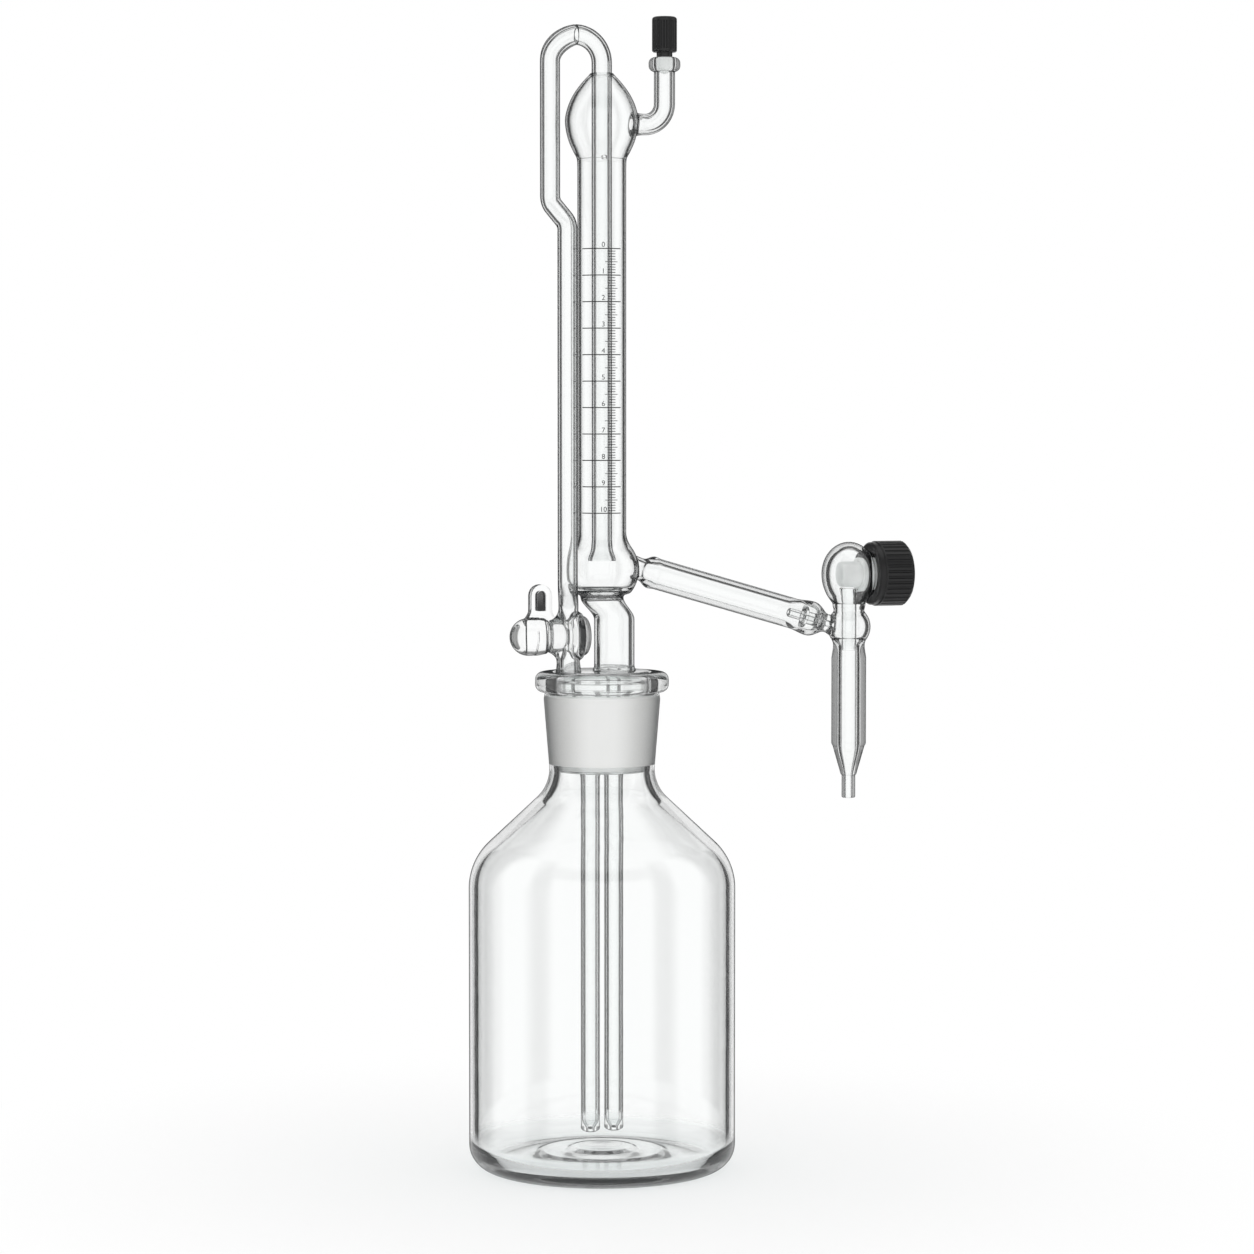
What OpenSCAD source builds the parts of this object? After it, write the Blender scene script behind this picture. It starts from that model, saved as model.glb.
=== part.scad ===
// Automatic zero burette on its reservoir bottle, in millimetres.
// The origin is the centre of the bottle's base, +Z is up and +X runs along the side arm.

/* [Reservoir bottle] */
// Outside diameter of the body
bottle_od = 86; // [70:1:110]
// Wall of the body
bottle_wall = 2.6; // [1.5:0.1:4]
// Height at which the shoulder begins
shoulder_z = 91; // [70:1:140]
// Radius of the outer corner at the base
base_corner = 8; // [5:0.5:12]
// Thickness of the floor at its edge
floor_t = 4.5; // [3:0.5:8]
// Rise of the floor at its centre
floor_rise = 2.5; // [0.5:0.5:5]
// Slope of the shoulder over the horizontal, in degrees
shoulder_slope = 43; // [35:1:55]
// Radius of the shoulder's convex curve
shoulder_r = 20; // [12:1:26]
// Radius of the concave curve into the neck
throat_r = 13; // [8:1:18]

/* [Neck and ground joint] */
// Bore of the ground socket at the rim
joint_d = 31; // [28:0.5:36]
// Length of the ground socket
joint_len = 32; // [26:1:40]
// Taper of the joint, diameter over length
joint_taper = 0.1; // [0.06:0.01:0.14]
// Radial clearance between cone and socket
joint_gap = 0.08; // [0.05:0.01:0.1]
// Wall of the neck at its foot
neck_wall = 3; // [2:0.1:4]
// Extra wall of the neck under the rim flange
neck_flare = 0.7; // [0:0.1:1.5]
// Length of the neck under the rim flange
neck_len = 24.7; // [18:0.1:30]
// Diameter of the rim flange
flange_od = 43; // [41:0.5:52]
// Height of the rim flange
flange_h = 6.4; // [5:0.1:9]
// Rounding of the rim flange
flange_round = 2.4; // [1:0.1:2.5]

/* [Ground cone and dip tubes] */
// Wall of the hollow cone
cone_wall = 1.4; // [1:0.1:2.5]
// Thickness of the cone's top plate
cone_top_t = 3; // [2:0.1:4]
// Thickness of the cone's bottom plate
cone_floor_t = 2.2; // [1.5:0.1:3]
// Height of the cone's top over the rim
cone_proud = 0.4; // [0.2:0.1:2]
// Outside diameter of the tubes inside the cone
link_od = 4.6; // [4:0.1:5]
// Bore of the tubes inside the cone
link_bore = 2.8; // [1.5:0.1:3.2]
// Bend radius of the tubes inside the cone
link_bend_r = 8; // [6:0.5:9]
// Outside diameter of the dip tubes
dip_od = 6.1; // [5:0.1:7]
// Bore of the dip tubes
dip_bore = 3.6; // [2.5:0.1:4.2]
// Distance of each dip tube from the axis
dip_x = 4; // [3.9:0.1:5]
// Height of the dip tubes' ends over the base
dip_end_z = 12; // [10:0.5:30]

/* [Support and lower bulb] */
// Outside diameter of the support tube
support_od = 13; // [11:0.1:14]
// Wall of the support tube
support_wall = 1.6; // [1:0.1:2.5]
// Distance of the support tube from the axis
support_x = 4.2; // [3:0.1:5]
// Straight height of the support tube
support_h = 14.8; // [12:0.1:24]
// Height of the sideways step over the support tube
offset_h = 5.8; // [4:0.1:10]
// Outside diameter of the lower bulb
lower_bulb_od = 23.8; // [21:0.1:30]
// Wall of the lower bulb
lower_bulb_wall = 1.3; // [1:0.1:2]
// Height of the neck from the lower bulb's centre
lower_neck_h = 10; // [9:0.1:16]

/* [Burette tube and upper bulb] */
// Outside diameter of the burette tube
burette_od = 15.6; // [14:0.1:17]
// Bore of the burette tube
burette_bore = 13.8; // [11:0.1:13.9]
// Length of the burette tube
burette_len = 116; // [90:1:200]
// Outside diameter of the upper bulb
upper_bulb_od = 24.2; // [21:0.1:30]
// Wall of the upper bulb
upper_bulb_wall = 1.2; // [0.8:0.1:2]
// Height from the tube's end to the bulb's widest ring
upper_bulb_lower_h = 16; // [13:0.1:20]
// Height from the widest ring to the bulb's closed top
upper_bulb_upper_h = 16.5; // [13:0.1:20]

/* [Fill tube, loop and riser] */
// Outside diameter of the fill tube
fill_od = 6.5; // [5:0.1:7]
// Bore of the fill tube
fill_bore = 4.1; // [2.5:0.1:4.6]
// Diameter of the fill tube's flared mouth
mouth_d = 9; // [7:0.1:10]
// Height of the mouth over the lower bulb's centre
mouth_rise = 2.8; // [1:0.1:6]
// Diameter of the zero hole in the fill tube
zero_hole_d = 1.6; // [0.8:0.1:2]
// Height of the zero hole over the burette tube
zero_rise = 6; // [3:0.5:10]
// Height of the loop's springing over the upper bulb
loop_rise = 3.2; // [1:0.1:12]
// Distance between the loop's two legs
loop_span = 17.4; // [16.5:0.1:26]
// Outside diameter of the riser
riser_od = 6.4; // [5:0.1:7]
// Bore of the riser
riser_bore = 4; // [2.5:0.1:4.6]
// Gap between riser and lower bulb
riser_gap = 0.6; // [0.3:0.1:1]
// Turn of the riser round the burette from the arm's far side, in degrees
riser_turn = 27; // [20:1:40]
// Depth of the riser's jog under the upper bulb's foot
jog_drop = 18; // [14:0.5:40]
// Bend radius of the riser's jogs
jog_bend_r = 4.6; // [3.6:0.1:5]

/* [Stopcock] */
// Height of the plug's axis over the ground cone
cock_rise = 11.3; // [10.5:0.1:16]
// Radius of the barrel at its narrow mouth
barrel_mouth_r = 4.4; // [4.2:0.1:5]
// Radius of the barrel's wide end
barrel_rim_r = 7.8; // [7:0.1:8.2]
// Length of the barrel on the mouth's side of the riser
barrel_mouth_len = 7.25; // [6:0.25:12]
// Length of the barrel beyond the riser's foot, at its wide end
barrel_rim_margin = 0.3; // [0.2:0.1:0.6]
// Bulge of the disc that closes the wide end
barrel_disc_t = 1.8; // [1:0.1:2.2]
// Outside diameter of the tube under the barrel
foot_od = 7.2; // [6:0.1:7.6]
// Radius of the plug at the barrel's mouth
plug_r = 2.9; // [2.5:0.1:3.2]
// Taper of the plug, radius over length
plug_taper = 0.04; // [0.02:0.01:0.06]
// Radial clearance of the plug in the barrel
plug_gap = 0.06; // [0.03:0.01:0.1]
// Diameter of the passage through the plug
plug_hole_d = 2.4; // [1.5:0.1:3]
// Radius of the band between plug and ball head
band_r = 4.75; // [4.5:0.05:5.2]
// Length of the band
band_len = 5.8; // [4.5:0.1:8]
// Radius of the ball head
head_r = 6.2; // [5.5:0.1:7]
// Width of the loop handle
handle_w = 7; // [5.5:0.1:7.5]
// Height of the loop handle over its foot
handle_h = 10.2; // [8:0.1:14]
// Thickness of the loop handle
handle_t = 3.6; // [2.5:0.1:5]
// Overhang of the handle past the plug's face
handle_over = 1.5; // [0:0.1:1.6]
// Width of the handle's slot
slot_w = 3; // [2:0.1:3.4]

/* [Side arm] */
// Distance from the axis at which the arm begins
arm_x = 13.2; // [13:0.1:18]
// Fall of the arm under the horizontal, in degrees
arm_slope = 16; // [8:0.5:18]
// Height of the arm's beginning under the lower bulb's centre
arm_drop = 0.1; // [-1:0.1:2]
// Outside diameter of the arm
arm_od = 10; // [9:0.1:12]
// Wall of the arm
arm_wall = 1.2; // [0.8:0.1:2]
// Outside diameter of the waist where the arm begins
waist_od = 7.2; // [6.5:0.1:8]
// Length of the arm
arm_len = 66; // [50:1:120]
// Outside diameter of the arm's rounded end
arm_end_od = 11.4; // [10.5:0.1:13]
// Length of the capillary inside the arm
jet_len = 13; // [8:0.5:20]
// Outside diameter of the capillary
jet_od = 2.8; // [2.2:0.1:3.6]
// Bore of the capillary
jet_bore = 1.2; // [0.8:0.1:1.6]

/* [Delivery valve] */
// Outside diameter of the neck between arm and valve
inlet_od = 4.8; // [4.2:0.1:5.2]
// Length of the neck between arm and valve
inlet_len = 2.6; // [2:0.1:6]
// Outside diameter of the ball under the chamber
ball_od = 14.2; // [13:0.1:16]
// Height of the chamber's axis over the ball's centre
chamber_rise = 18.4; // [18:0.1:24]
// Diameter of the flattened chamber
chamber_od = 19.6; // [18.5:0.1:22]
// Thickness of the chamber along the valve's axis
chamber_t = 16; // [14.5:0.1:18]
// Wall of chamber and ball
valve_wall = 1.4; // [1:0.1:1.8]
// Outside diameter of the waist between chamber and ball
stem_od = 10.6; // [10:0.1:12]
// Outside diameter of the chamber's neck
valve_neck_od = 14; // [13:0.1:15]
// Distance from the chamber's centre to the end of its neck
valve_neck_reach = 14; // [12:0.5:18]
// Radius of the bushing in the neck
bushing_r = 5.3; // [5:0.1:5.6]
// Diameter of the piston
piston_d = 7.8; // [7:0.1:8.4]
// Radial clearance of the piston in its bushing and cap
piston_gap = 0.06; // [0.03:0.01:0.1]
// Distance of the piston's nose before the chamber's centre
piston_lead = 3.4; // [3.2:0.1:4]
// Outside diameter of the drop tube
drop_od = 6; // [5:0.1:6.4]
// Bore of the drop tube
drop_bore = 4; // [2.5:0.1:4.4]

/* [Valve cap] */
// Diameter of the cap
cap_od = 21.4; // [19:0.1:26]
// Length of the cap
cap_len = 12.4; // [11:0.1:18]
// Thickness of the cap's end
cap_end_t = 4; // [3.5:0.1:6]
// Distance from the chamber's centre to the cap's edge
cap_x = 7; // [6.9:0.1:8]
// Gap between cap and neck
cap_gap = 0.4; // [0.3:0.1:0.8]
// Length of the smooth collar at the cap's edge
cap_collar_len = 1.8; // [1:0.1:3]
// Chamfer of the cap's outer end
cap_chamfer = 1.1; // [0.5:0.1:2]
// Number of grooves round the cap
cap_grooves = 36; // [24:1:40]
// Diameter of each groove
cap_groove_d = 1; // [0.6:0.1:1.2]

/* [Delivery tube] */
// Outside diameter of the delivery tube
outlet_od = 11.4; // [10.5:0.1:13]
// Bore of the delivery tube
outlet_bore = 5.2; // [3:0.1:5.6]
// Length of the delivery tube
outlet_len = 31; // [20:1:60]
// Length of the cone over the tip
tip_cone_len = 10; // [6:0.5:16]
// Diameter of the cone's lower end
tip_cone_d = 5.3; // [4.8:0.1:6]
// Outside diameter of the tip
tip_od = 4.5; // [4:0.1:4.7]
// Bore of the tip
tip_bore = 2; // [1:0.1:2.6]
// Length of the tip
tip_len = 7.6; // [5:0.1:15]

/* [Vent] */
// Distance of the vent tube from the axis
vent_x = 21.3; // [20.5:0.1:26]
// Height of the vent's stub over the upper bulb's widest ring
vent_rise = 0.5; // [-1:0.1:2]
// Outside diameter of the vent tube
vent_od = 6.8; // [6:0.1:7.4]
// Bore of the vent tube
vent_bore = 3.8; // [3.5:0.1:4.4]
// Bend radius of the vent tube
vent_bend_r = 6.8; // [5:0.1:7]
// Straight height of the vent tube over its bend
vent_h = 10.2; // [6:0.1:16]
// Diameter of the glass collar
collar_od = 10.2; // [9:0.1:12]
// Height of the glass collar
collar_h = 4.6; // [4:0.1:7]
// Diameter of the bushing in the collar
vent_bushing_d = 5.2; // [5:0.1:5.6]
// Height of the bushing over the collar
vent_bushing_proud = 1.2; // [0.5:0.1:2]
// Diameter of the vent's spindle
spindle_d = 3.2; // [2.6:0.1:3.3]
// Radial clearance of the spindle
spindle_gap = 0.05; // [0.03:0.01:0.1]
// Depth of the spindle's rounded end under the collar
spindle_lead = 0.8; // [0.5:0.1:3]
// Diameter of the vent's knob
knob_od = 8; // [7:0.1:11]
// Height of the vent's knob
knob_h = 11.3; // [9:0.1:15]
// Gap between knob and bushing
knob_gap = 0.4; // [0.3:0.1:1]
// Number of grooves round the knob
knob_grooves = 24; // [16:1:28]
// Diameter of each groove
knob_groove_d = 0.7; // [0.4:0.1:0.8]

/* [Hidden] */
$fn = 48;
// Overlap of a cut past the face it opens
cut = 0.5;
// Clearance of pieces that are sealed into one another
seal_gap = 0.05;
// Clearance at the blind end of a socket
socket_play = 0.1;
// Points on each curve of an outline
arc_steps = 10;
// Rings on each bend and sides round a lofted tube
bend_steps = 6;
loft_sides = 28;
glass = [0.86, 0.92, 0.93];
ground_glass = [0.93, 0.94, 0.94];
white_polymer = [0.95, 0.95, 0.93];
black_polymer = [0.07, 0.07, 0.07];
dark_seal = [0.12, 0.12, 0.13];

// Bottle and joint
shoulder_turn = 90 - shoulder_slope;
joint_slope = joint_taper / 2;
neck_r = joint_d / 2 - joint_slope * (neck_len + flange_h) + neck_wall;
shoulder_c = [bottle_od / 2 - shoulder_r, shoulder_z];
shoulder_end = shoulder_c + shoulder_r * [cos(shoulder_turn), sin(shoulder_turn)];
slope_run = shoulder_end.x - neck_r - throat_r * (1 - cos(shoulder_turn));
neck_z = shoulder_end.y + slope_run * tan(shoulder_slope) + throat_r * sin(shoulder_turn);
flange_z = neck_z + neck_len;
rim_z = flange_z + flange_h;
socket_z = rim_z - joint_len;

// Stack of the glass over the joint
cone_top_z = rim_z + cone_proud;
offset_z = cone_top_z + support_h;
lower_neck_z = offset_z + offset_h;
lower_bulb_z = lower_neck_z + lower_bulb_od / 2;
burette_z = lower_bulb_z + lower_neck_h;
burette_top_z = burette_z + burette_len;
upper_bulb_z = burette_top_z + upper_bulb_lower_h;
upper_top_z = upper_bulb_z + upper_bulb_upper_h;
loop_z = upper_top_z + loop_rise;
mouth_z = lower_bulb_z + mouth_rise;

// Riser and stopcock. The foot stands over the tube inside the cone, the long run passes
// beside the lower bulb, and the loop returns to the plane of the side arm.
link_angle = 50;
link_gap = 0.25;
link_top_r = joint_radius(cone_top_z - cone_top_t) - joint_gap - cone_wall;
link_x = link_top_r - link_od / 2 - link_gap;
cock_x = -link_x;
cock_z = cone_top_z + cock_rise;
barrel_mouth_x = cock_x - barrel_mouth_len;
barrel_rim_x = cock_x + foot_od / 2 + barrel_rim_margin;
stub_rise = 0.1;
stub_z = cock_z + barrel_rim_r + stub_rise;
foot_top_z = cock_z - barrel_rim_r - stub_rise;
barrel_end_t = 1.2;
plug_end_gap = 0.3;
plug_face_x = barrel_mouth_x - plug_end_gap;
handle_x = plug_face_x - handle_w / 2 + handle_over;
pad_rise = 0.3;
pad_z = cock_z + head_r + pad_rise;
run_r = lower_bulb_od / 2 + riser_gap + riser_od / 2;
run_x = -run_r * cos(riser_turn);
run_y = -run_r * sin(riser_turn);
jog_angle = 50;
low_jog = [run_x - cock_x, run_y];
low_jog_top_z = stub_z + jog_height(norm(low_jog), jog_angle, jog_bend_r);
high_jog = [-loop_span - run_x, -run_y];
jog_z = burette_top_z - jog_drop;

// Side arm and valve
arm_start = [arm_x, 0, lower_bulb_z - arm_drop];
ball_reach = arm_len + inlet_len + ball_od / 2;
valve_x = arm_start.x + ball_reach * cos(arm_slope);
ball_z = arm_start.z - ball_reach * sin(arm_slope);
chamber_z = ball_z + chamber_rise;
outlet_seat = 0.3;
outlet_z = ball_z - ball_od / 2 + outlet_seat;
tip_cone_z = outlet_z - outlet_len;
tip_z = tip_cone_z - tip_cone_len;
// The drop tube's mouth clears the piston above it
drop_gap = 0.3;
drop_top_z = chamber_z - piston_d / 2 - drop_gap;
bushing_gap = 0.4;
bushing_x = drop_od / 2 + bushing_gap;
cap_floor_x = cap_x + cap_len - cap_end_t;
piston_end_share = 0.6;
piston_end_x = cap_floor_x + cap_end_t * piston_end_share;
ring_w = 1.2;
ring_depth = 0.7;
ring_pitch = 3;
ring_inset = 1;
ring_proud = 0.02;

// Vent
vent_z = upper_bulb_z + vent_rise;
vent_stub_x = vent_x - vent_bend_r;
collar_z = vent_z + vent_bend_r + vent_h;
collar_top_z = collar_z + collar_h;
vent_seat = 0.8;
vent_bushing_z = collar_z + vent_seat;
bushing_top_z = collar_top_z + vent_bushing_proud;
knob_z = bushing_top_z + knob_gap;
spindle_share = 0.5;
spindle_top_z = knob_z + knob_h * spindle_share;

// Radius of the ground joint at a height
function joint_radius(z) = joint_d / 2 - joint_slope * (rim_z - z);

// Points of an arc round c, from angle a0 to angle a1
function arc(c, r, a0, a1) =
    [for (i = [0:arc_steps]) let (a = a0 + (a1 - a0) * i / arc_steps) c + r * [cos(a), sin(a)]];

// Points of an ellipse round [0, z], radii rx and rz, from angle a0 to angle a1
function oval(z, rx, rz, a0, a1) =
    [for (i = [0:arc_steps]) let (a = a0 + (a1 - a0) * i / arc_steps) [rx * cos(a), z + rz * sin(a)]];

// Eased step from 0 to 1
function ease(t) = t * t * (3 - 2 * t);

// Straight stretch and height of a jog between two bends
function jog_straight(offset, angle, bend_r) = (offset - 2 * bend_r * (1 - cos(angle))) / sin(angle);
function jog_height(offset, angle, bend_r) =
    2 * bend_r * sin(angle) + jog_straight(offset, angle, bend_r) * cos(angle);

// Rings [x, z, tilt, radius] of a tube that rises from x, z and steps aside between two bends.
// side is 1 towards +X and -1 towards -X.
function jog_rings(x, z, offset, angle, bend_r, side, r) =
    let (top_z = z + jog_height(offset, angle, bend_r))
    concat(
        [for (i = [0:bend_steps])
            let (a = angle * i / bend_steps)
                [x + side * bend_r * (1 - cos(a)), z + bend_r * sin(a), side * a, r]],
        [for (i = [0:bend_steps])
            let (a = angle * (1 - i / bend_steps))
                [x + side * (offset - bend_r * (1 - cos(a))), top_z - bend_r * sin(a), side * a, r]]
    );

// Wall of a tube lofted through rings [x, z, tilt, radius]
module loft(rings, wall, sides) {
    function ring_points(inset) = [
        for (ring = rings, j = [0:sides - 1])
            let (a = 360 * j / sides, r = ring[3] - inset)
                [ring[0] + r * cos(a) * cos(ring[2]), r * sin(a), ring[1] - r * cos(a) * sin(ring[2])]];
    count = len(rings) * sides;
    last = count - sides;
    walls = [for (i = [0:len(rings) - 2], j = [0:sides - 1])
        let (k = (j + 1) % sides, a = i * sides + j, b = i * sides + k)
            each [[a, a + sides, b], [b, a + sides, b + sides],
                [count + a, count + b, count + a + sides],
                [count + b, count + b + sides, count + a + sides]]];
    ends = [for (j = [0:sides - 1])
        let (k = (j + 1) % sides)
            each [[j, k, count + j], [k, count + k, count + j],
                [last + j, count + last + j, last + k], [last + k, count + last + j, count + last + k]]];
    polyhedron(concat(ring_points(0), ring_points(wall)), concat(walls, ends), convexity = 6);
}

module ring(od, bore) {
    difference() {
        circle(d = od);
        circle(d = bore);
    }
}

module tube(od, bore, length) {
    linear_extrude(length) ring(od, bore);
}

// Tube that leaves the origin upwards and bends towards +X
module bend(od, bore, bend_r, angle) {
    translate([bend_r, 0, 0])
        rotate([90, 0, 0])
            rotate([0, 0, 180 - angle])
                rotate_extrude(angle = angle)
                    translate([bend_r, 0]) ring(od, bore);
}

// Places its children with +Z along the side arm, at distance s from the arm's start
module along_arm(s) {
    translate(arm_start + s * [cos(arm_slope), 0, -sin(arm_slope)])
        rotate([0, 90 + arm_slope, 0]) children();
}

// Places its children with +Z along +X
module along_x(x, z) {
    translate([x, 0, z]) rotate([0, 90, 0]) children();
}

module reservoir_bottle() {
    body_r = bottle_od / 2;
    foot_r = body_r - base_corner;
    inner_corner = base_corner - bottle_wall;
    socket_r = joint_radius(socket_z);
    throat_in = throat_r + neck_wall;
    flange_r = flange_od / 2;
    rim_chamfer = 0.6;
    neck_top_r = joint_radius(flange_z) + neck_wall + neck_flare;
    floor_dome = [for (i = [1:arc_steps])
        let (t = i / arc_steps) [foot_r * (1 - t), floor_t + floor_rise * ease(t)]];
    color(glass)
        rotate_extrude()
            polygon(concat(
                [[0, 0]],
                arc([foot_r, base_corner], base_corner, -90, 0),
                arc(shoulder_c, shoulder_r, 0, shoulder_turn),
                arc([neck_r + throat_r, neck_z], throat_r, 180 + shoulder_turn, 180),
                [[neck_top_r, flange_z]],
                arc([flange_r - flange_round, flange_z + flange_round], flange_round, -90, 0),
                arc([flange_r - flange_round, rim_z - flange_round], flange_round, 0, 90),
                [[joint_d / 2 + rim_chamfer, rim_z]],
                [[joint_radius(rim_z - rim_chamfer), rim_z - rim_chamfer]],
                arc([socket_r + throat_in, socket_z], throat_in, 180, 180 + shoulder_turn),
                arc(shoulder_c, shoulder_r - bottle_wall, shoulder_turn, 0),
                arc([foot_r, floor_t + inner_corner], inner_corner, 0, -90),
                floor_dome
            ));
}

module ground_cone() {
    cavity_z = socket_z + cone_floor_t;
    cavity_top_z = cone_top_z - cone_top_t;
    skin = joint_gap + cone_wall;
    color(ground_glass)
        difference() {
            translate([0, 0, socket_z])
                cylinder(h = cone_top_z - socket_z, r1 = joint_radius(socket_z) - joint_gap,
                    r2 = joint_radius(cone_top_z) - joint_gap);
            translate([0, 0, cavity_z])
                cylinder(h = cavity_top_z - cavity_z, r1 = joint_radius(cavity_z) - skin,
                    r2 = joint_radius(cavity_top_z) - skin);
            for (x = [-link_x, dip_x])
                translate([x, 0, cavity_top_z - cut]) cylinder(d = link_bore, h = cone_top_t + 2 * cut);
            for (x = [-dip_x, dip_x])
                translate([x, 0, socket_z - cut]) cylinder(d = link_bore, h = cone_floor_t + 2 * cut);
        }
}

// Tube inside the cone from the supply dip tube out to the riser's foot
module riser_link() {
    bottom_z = socket_z + cone_floor_t;
    top_z = cone_top_z - cone_top_t;
    offset = link_x - dip_x;
    jog_start_z = top_z - jog_height(offset, link_angle, link_bend_r);
    tube_r = link_od / 2;
    color(glass)
        loft(concat(
            [[-dip_x, bottom_z, 0, tube_r]],
            jog_rings(-dip_x, jog_start_z, offset, link_angle, link_bend_r, -1, tube_r)
        ), (link_od - link_bore) / 2, loft_sides);
}

module return_link() {
    bottom_z = socket_z + cone_floor_t;
    color(glass)
        translate([dip_x, 0, bottom_z]) tube(link_od, link_bore, cone_top_z - cone_top_t - bottom_z);
}

// Dip tube with a flare against the cone's floor and a fire-polished lower end
module dip_tube(x) {
    tube_r = dip_od / 2;
    bore_r = dip_bore / 2;
    lip = (tube_r - bore_r) / 2;
    flare_h = 2.4;
    flare_gap = 0.2;
    flare_r = dip_x - flare_gap;
    length = socket_z - dip_end_z;
    translate([x, 0, dip_end_z])
        rotate_extrude()
            polygon(concat(
                arc([bore_r + lip, lip], lip, -180, 0),
                [[tube_r, length - flare_h], [flare_r, length], [bore_r, length]]
            ));
}

module supply_dip_tube() {
    color(glass) dip_tube(-dip_x);
}

module return_dip_tube() {
    color(glass) dip_tube(dip_x);
}

module support_tube() {
    color(glass)
        translate([support_x, 0, cone_top_z]) tube(support_od, support_od - 2 * support_wall, support_h);
}

// Lofted step from the support tube up to the lower bulb's neck
module support_offset() {
    r0 = support_od / 2;
    r1 = burette_od / 2;
    color(glass)
        loft([for (i = [0:arc_steps])
            let (t = i / arc_steps, s = ease(t))
                [support_x * (1 - s), offset_z + offset_h * t, 0, r0 + (r1 - r0) * s]],
            support_wall, loft_sides);
}

// Bulb with a closed floor over its lower neck and the stub of the side arm
module lower_bulb() {
    bulb_r = lower_bulb_od / 2;
    inner_r = bulb_r - lower_bulb_wall;
    neck_r1 = burette_od / 2;
    bore_r = burette_bore / 2;
    neck_a = acos(neck_r1 / bulb_r);
    centre = [0, lower_bulb_z];
    stub_root = 0.6;
    stub = arm_x / cos(arm_slope) - bulb_r * stub_root;
    color(glass)
        difference() {
            union() {
                rotate_extrude()
                    polygon(concat(
                        [[0, lower_neck_z], [neck_r1, lower_neck_z]],
                        arc(centre, bulb_r, -neck_a, neck_a),
                        [[neck_r1, burette_z], [bore_r, burette_z]],
                        arc(centre, inner_r, acos(bore_r / inner_r), -90)
                    ));
                difference() {
                    along_arm(-stub) cylinder(d = waist_od, h = stub);
                    translate([0, 0, lower_bulb_z]) sphere(r = bulb_r - lower_bulb_wall / 2);
                }
            }
            along_arm(-stub) cylinder(d = waist_od - 2 * arm_wall, h = stub + cut);
        }
}

module burette_tube() {
    color(glass)
        translate([0, 0, burette_z]) tube(burette_od, burette_bore, burette_len);
}

// Teardrop bulb, open to the burette tube below and sealed round the fill tube on top
module upper_bulb() {
    bulb_r = upper_bulb_od / 2;
    inner_r = bulb_r - upper_bulb_wall;
    inner_upper_h = upper_bulb_upper_h - upper_bulb_wall;
    neck_r1 = burette_od / 2;
    bore_r = burette_bore / 2;
    seal_r = fill_od / 2 + seal_gap;
    seal_rim_w = 0.8;
    seal_rim_r = seal_r + seal_rim_w;
    seal_a = acos(seal_rim_r / bulb_r);
    lower_arc = [for (i = [0:arc_steps])
        let (t = i / arc_steps)
            [neck_r1 + (bulb_r - neck_r1) * ease(t), burette_top_z + upper_bulb_lower_h * t]];
    inner_lower_arc = [for (i = [0:arc_steps])
        let (t = 1 - i / arc_steps)
            [bore_r + (inner_r - bore_r) * ease(t), burette_top_z + upper_bulb_lower_h * t]];
    stub_root = 0.7;
    stub_inner_x = bulb_r * stub_root;
    color(glass)
        difference() {
            union() {
                rotate_extrude()
                    polygon(concat(
                        lower_arc,
                        oval(upper_bulb_z, bulb_r, upper_bulb_upper_h, 0, seal_a),
                        [[seal_r, upper_bulb_z + upper_bulb_upper_h * sin(seal_a)]],
                        oval(upper_bulb_z, inner_r, inner_upper_h, acos(seal_r / inner_r), 0),
                        inner_lower_arc
                    ));
                difference() {
                    along_x(stub_inner_x, vent_z) cylinder(d = vent_od, h = vent_stub_x - stub_inner_x);
                    translate([0, 0, upper_bulb_z]) sphere(r = inner_r);
                }
            }
            along_x(stub_inner_x, vent_z) cylinder(d = vent_bore, h = vent_stub_x - stub_inner_x + cut);
        }
}

// Inner tube with its flared mouth in the lower bulb and the zero hole in the upper one
module fill_tube() {
    tube_r = fill_od / 2;
    bore_r = fill_bore / 2;
    lip = (tube_r - bore_r) / 2;
    lip_r = mouth_d / 2 - lip;
    flare_h = 4.5;
    color(glass)
        difference() {
            rotate_extrude()
                polygon(concat(
                    arc([lip_r, mouth_z + lip], lip, -180, 0),
                    [[tube_r, mouth_z + flare_h], [tube_r, loop_z]],
                    [[bore_r, loop_z], [bore_r, mouth_z + flare_h]]
                ));
            translate([0, 0, burette_top_z + zero_rise])
                rotate([90, 0, 0]) cylinder(d = zero_hole_d, h = fill_od);
        }
}

module fill_bend() {
    color(glass)
        translate([0, 0, loop_z]) rotate([0, 0, 180]) bend(fill_od, fill_bore, loop_span / 2, 90);
}

module riser_bend() {
    color(glass)
        translate([-loop_span, 0, loop_z]) bend(fill_od, fill_bore, loop_span / 2, 90);
}

// Bend from the stopcock round the lower bulb to the riser's long run
module riser_jog() {
    color(glass)
        translate([cock_x, 0, 0])
            rotate([0, 0, atan2(low_jog.y, low_jog.x)])
                loft(jog_rings(0, stub_z, norm(low_jog), jog_angle, jog_bend_r, 1, riser_od / 2),
                    (riser_od - riser_bore) / 2, loft_sides);
}

module riser_tube() {
    color(glass)
        translate([run_x, run_y, low_jog_top_z]) tube(riser_od, riser_bore, jog_z - low_jog_top_z);
}

// Riser from its upper jog to the loop
module riser_upper() {
    tube_r = riser_od / 2;
    color(glass)
        translate([run_x, run_y, 0])
            rotate([0, 0, atan2(high_jog.y, high_jog.x)])
                loft(concat(
                    jog_rings(0, jog_z, norm(high_jog), jog_angle, jog_bend_r, 1, tube_r),
                    [[norm(high_jog), loop_z, 0, tube_r]]
                ), (riser_od - riser_bore) / 2, loft_sides);
}

module riser_foot() {
    color(glass)
        translate([cock_x, 0, cone_top_z]) tube(foot_od, riser_bore, foot_top_z - cone_top_z);
}

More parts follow.
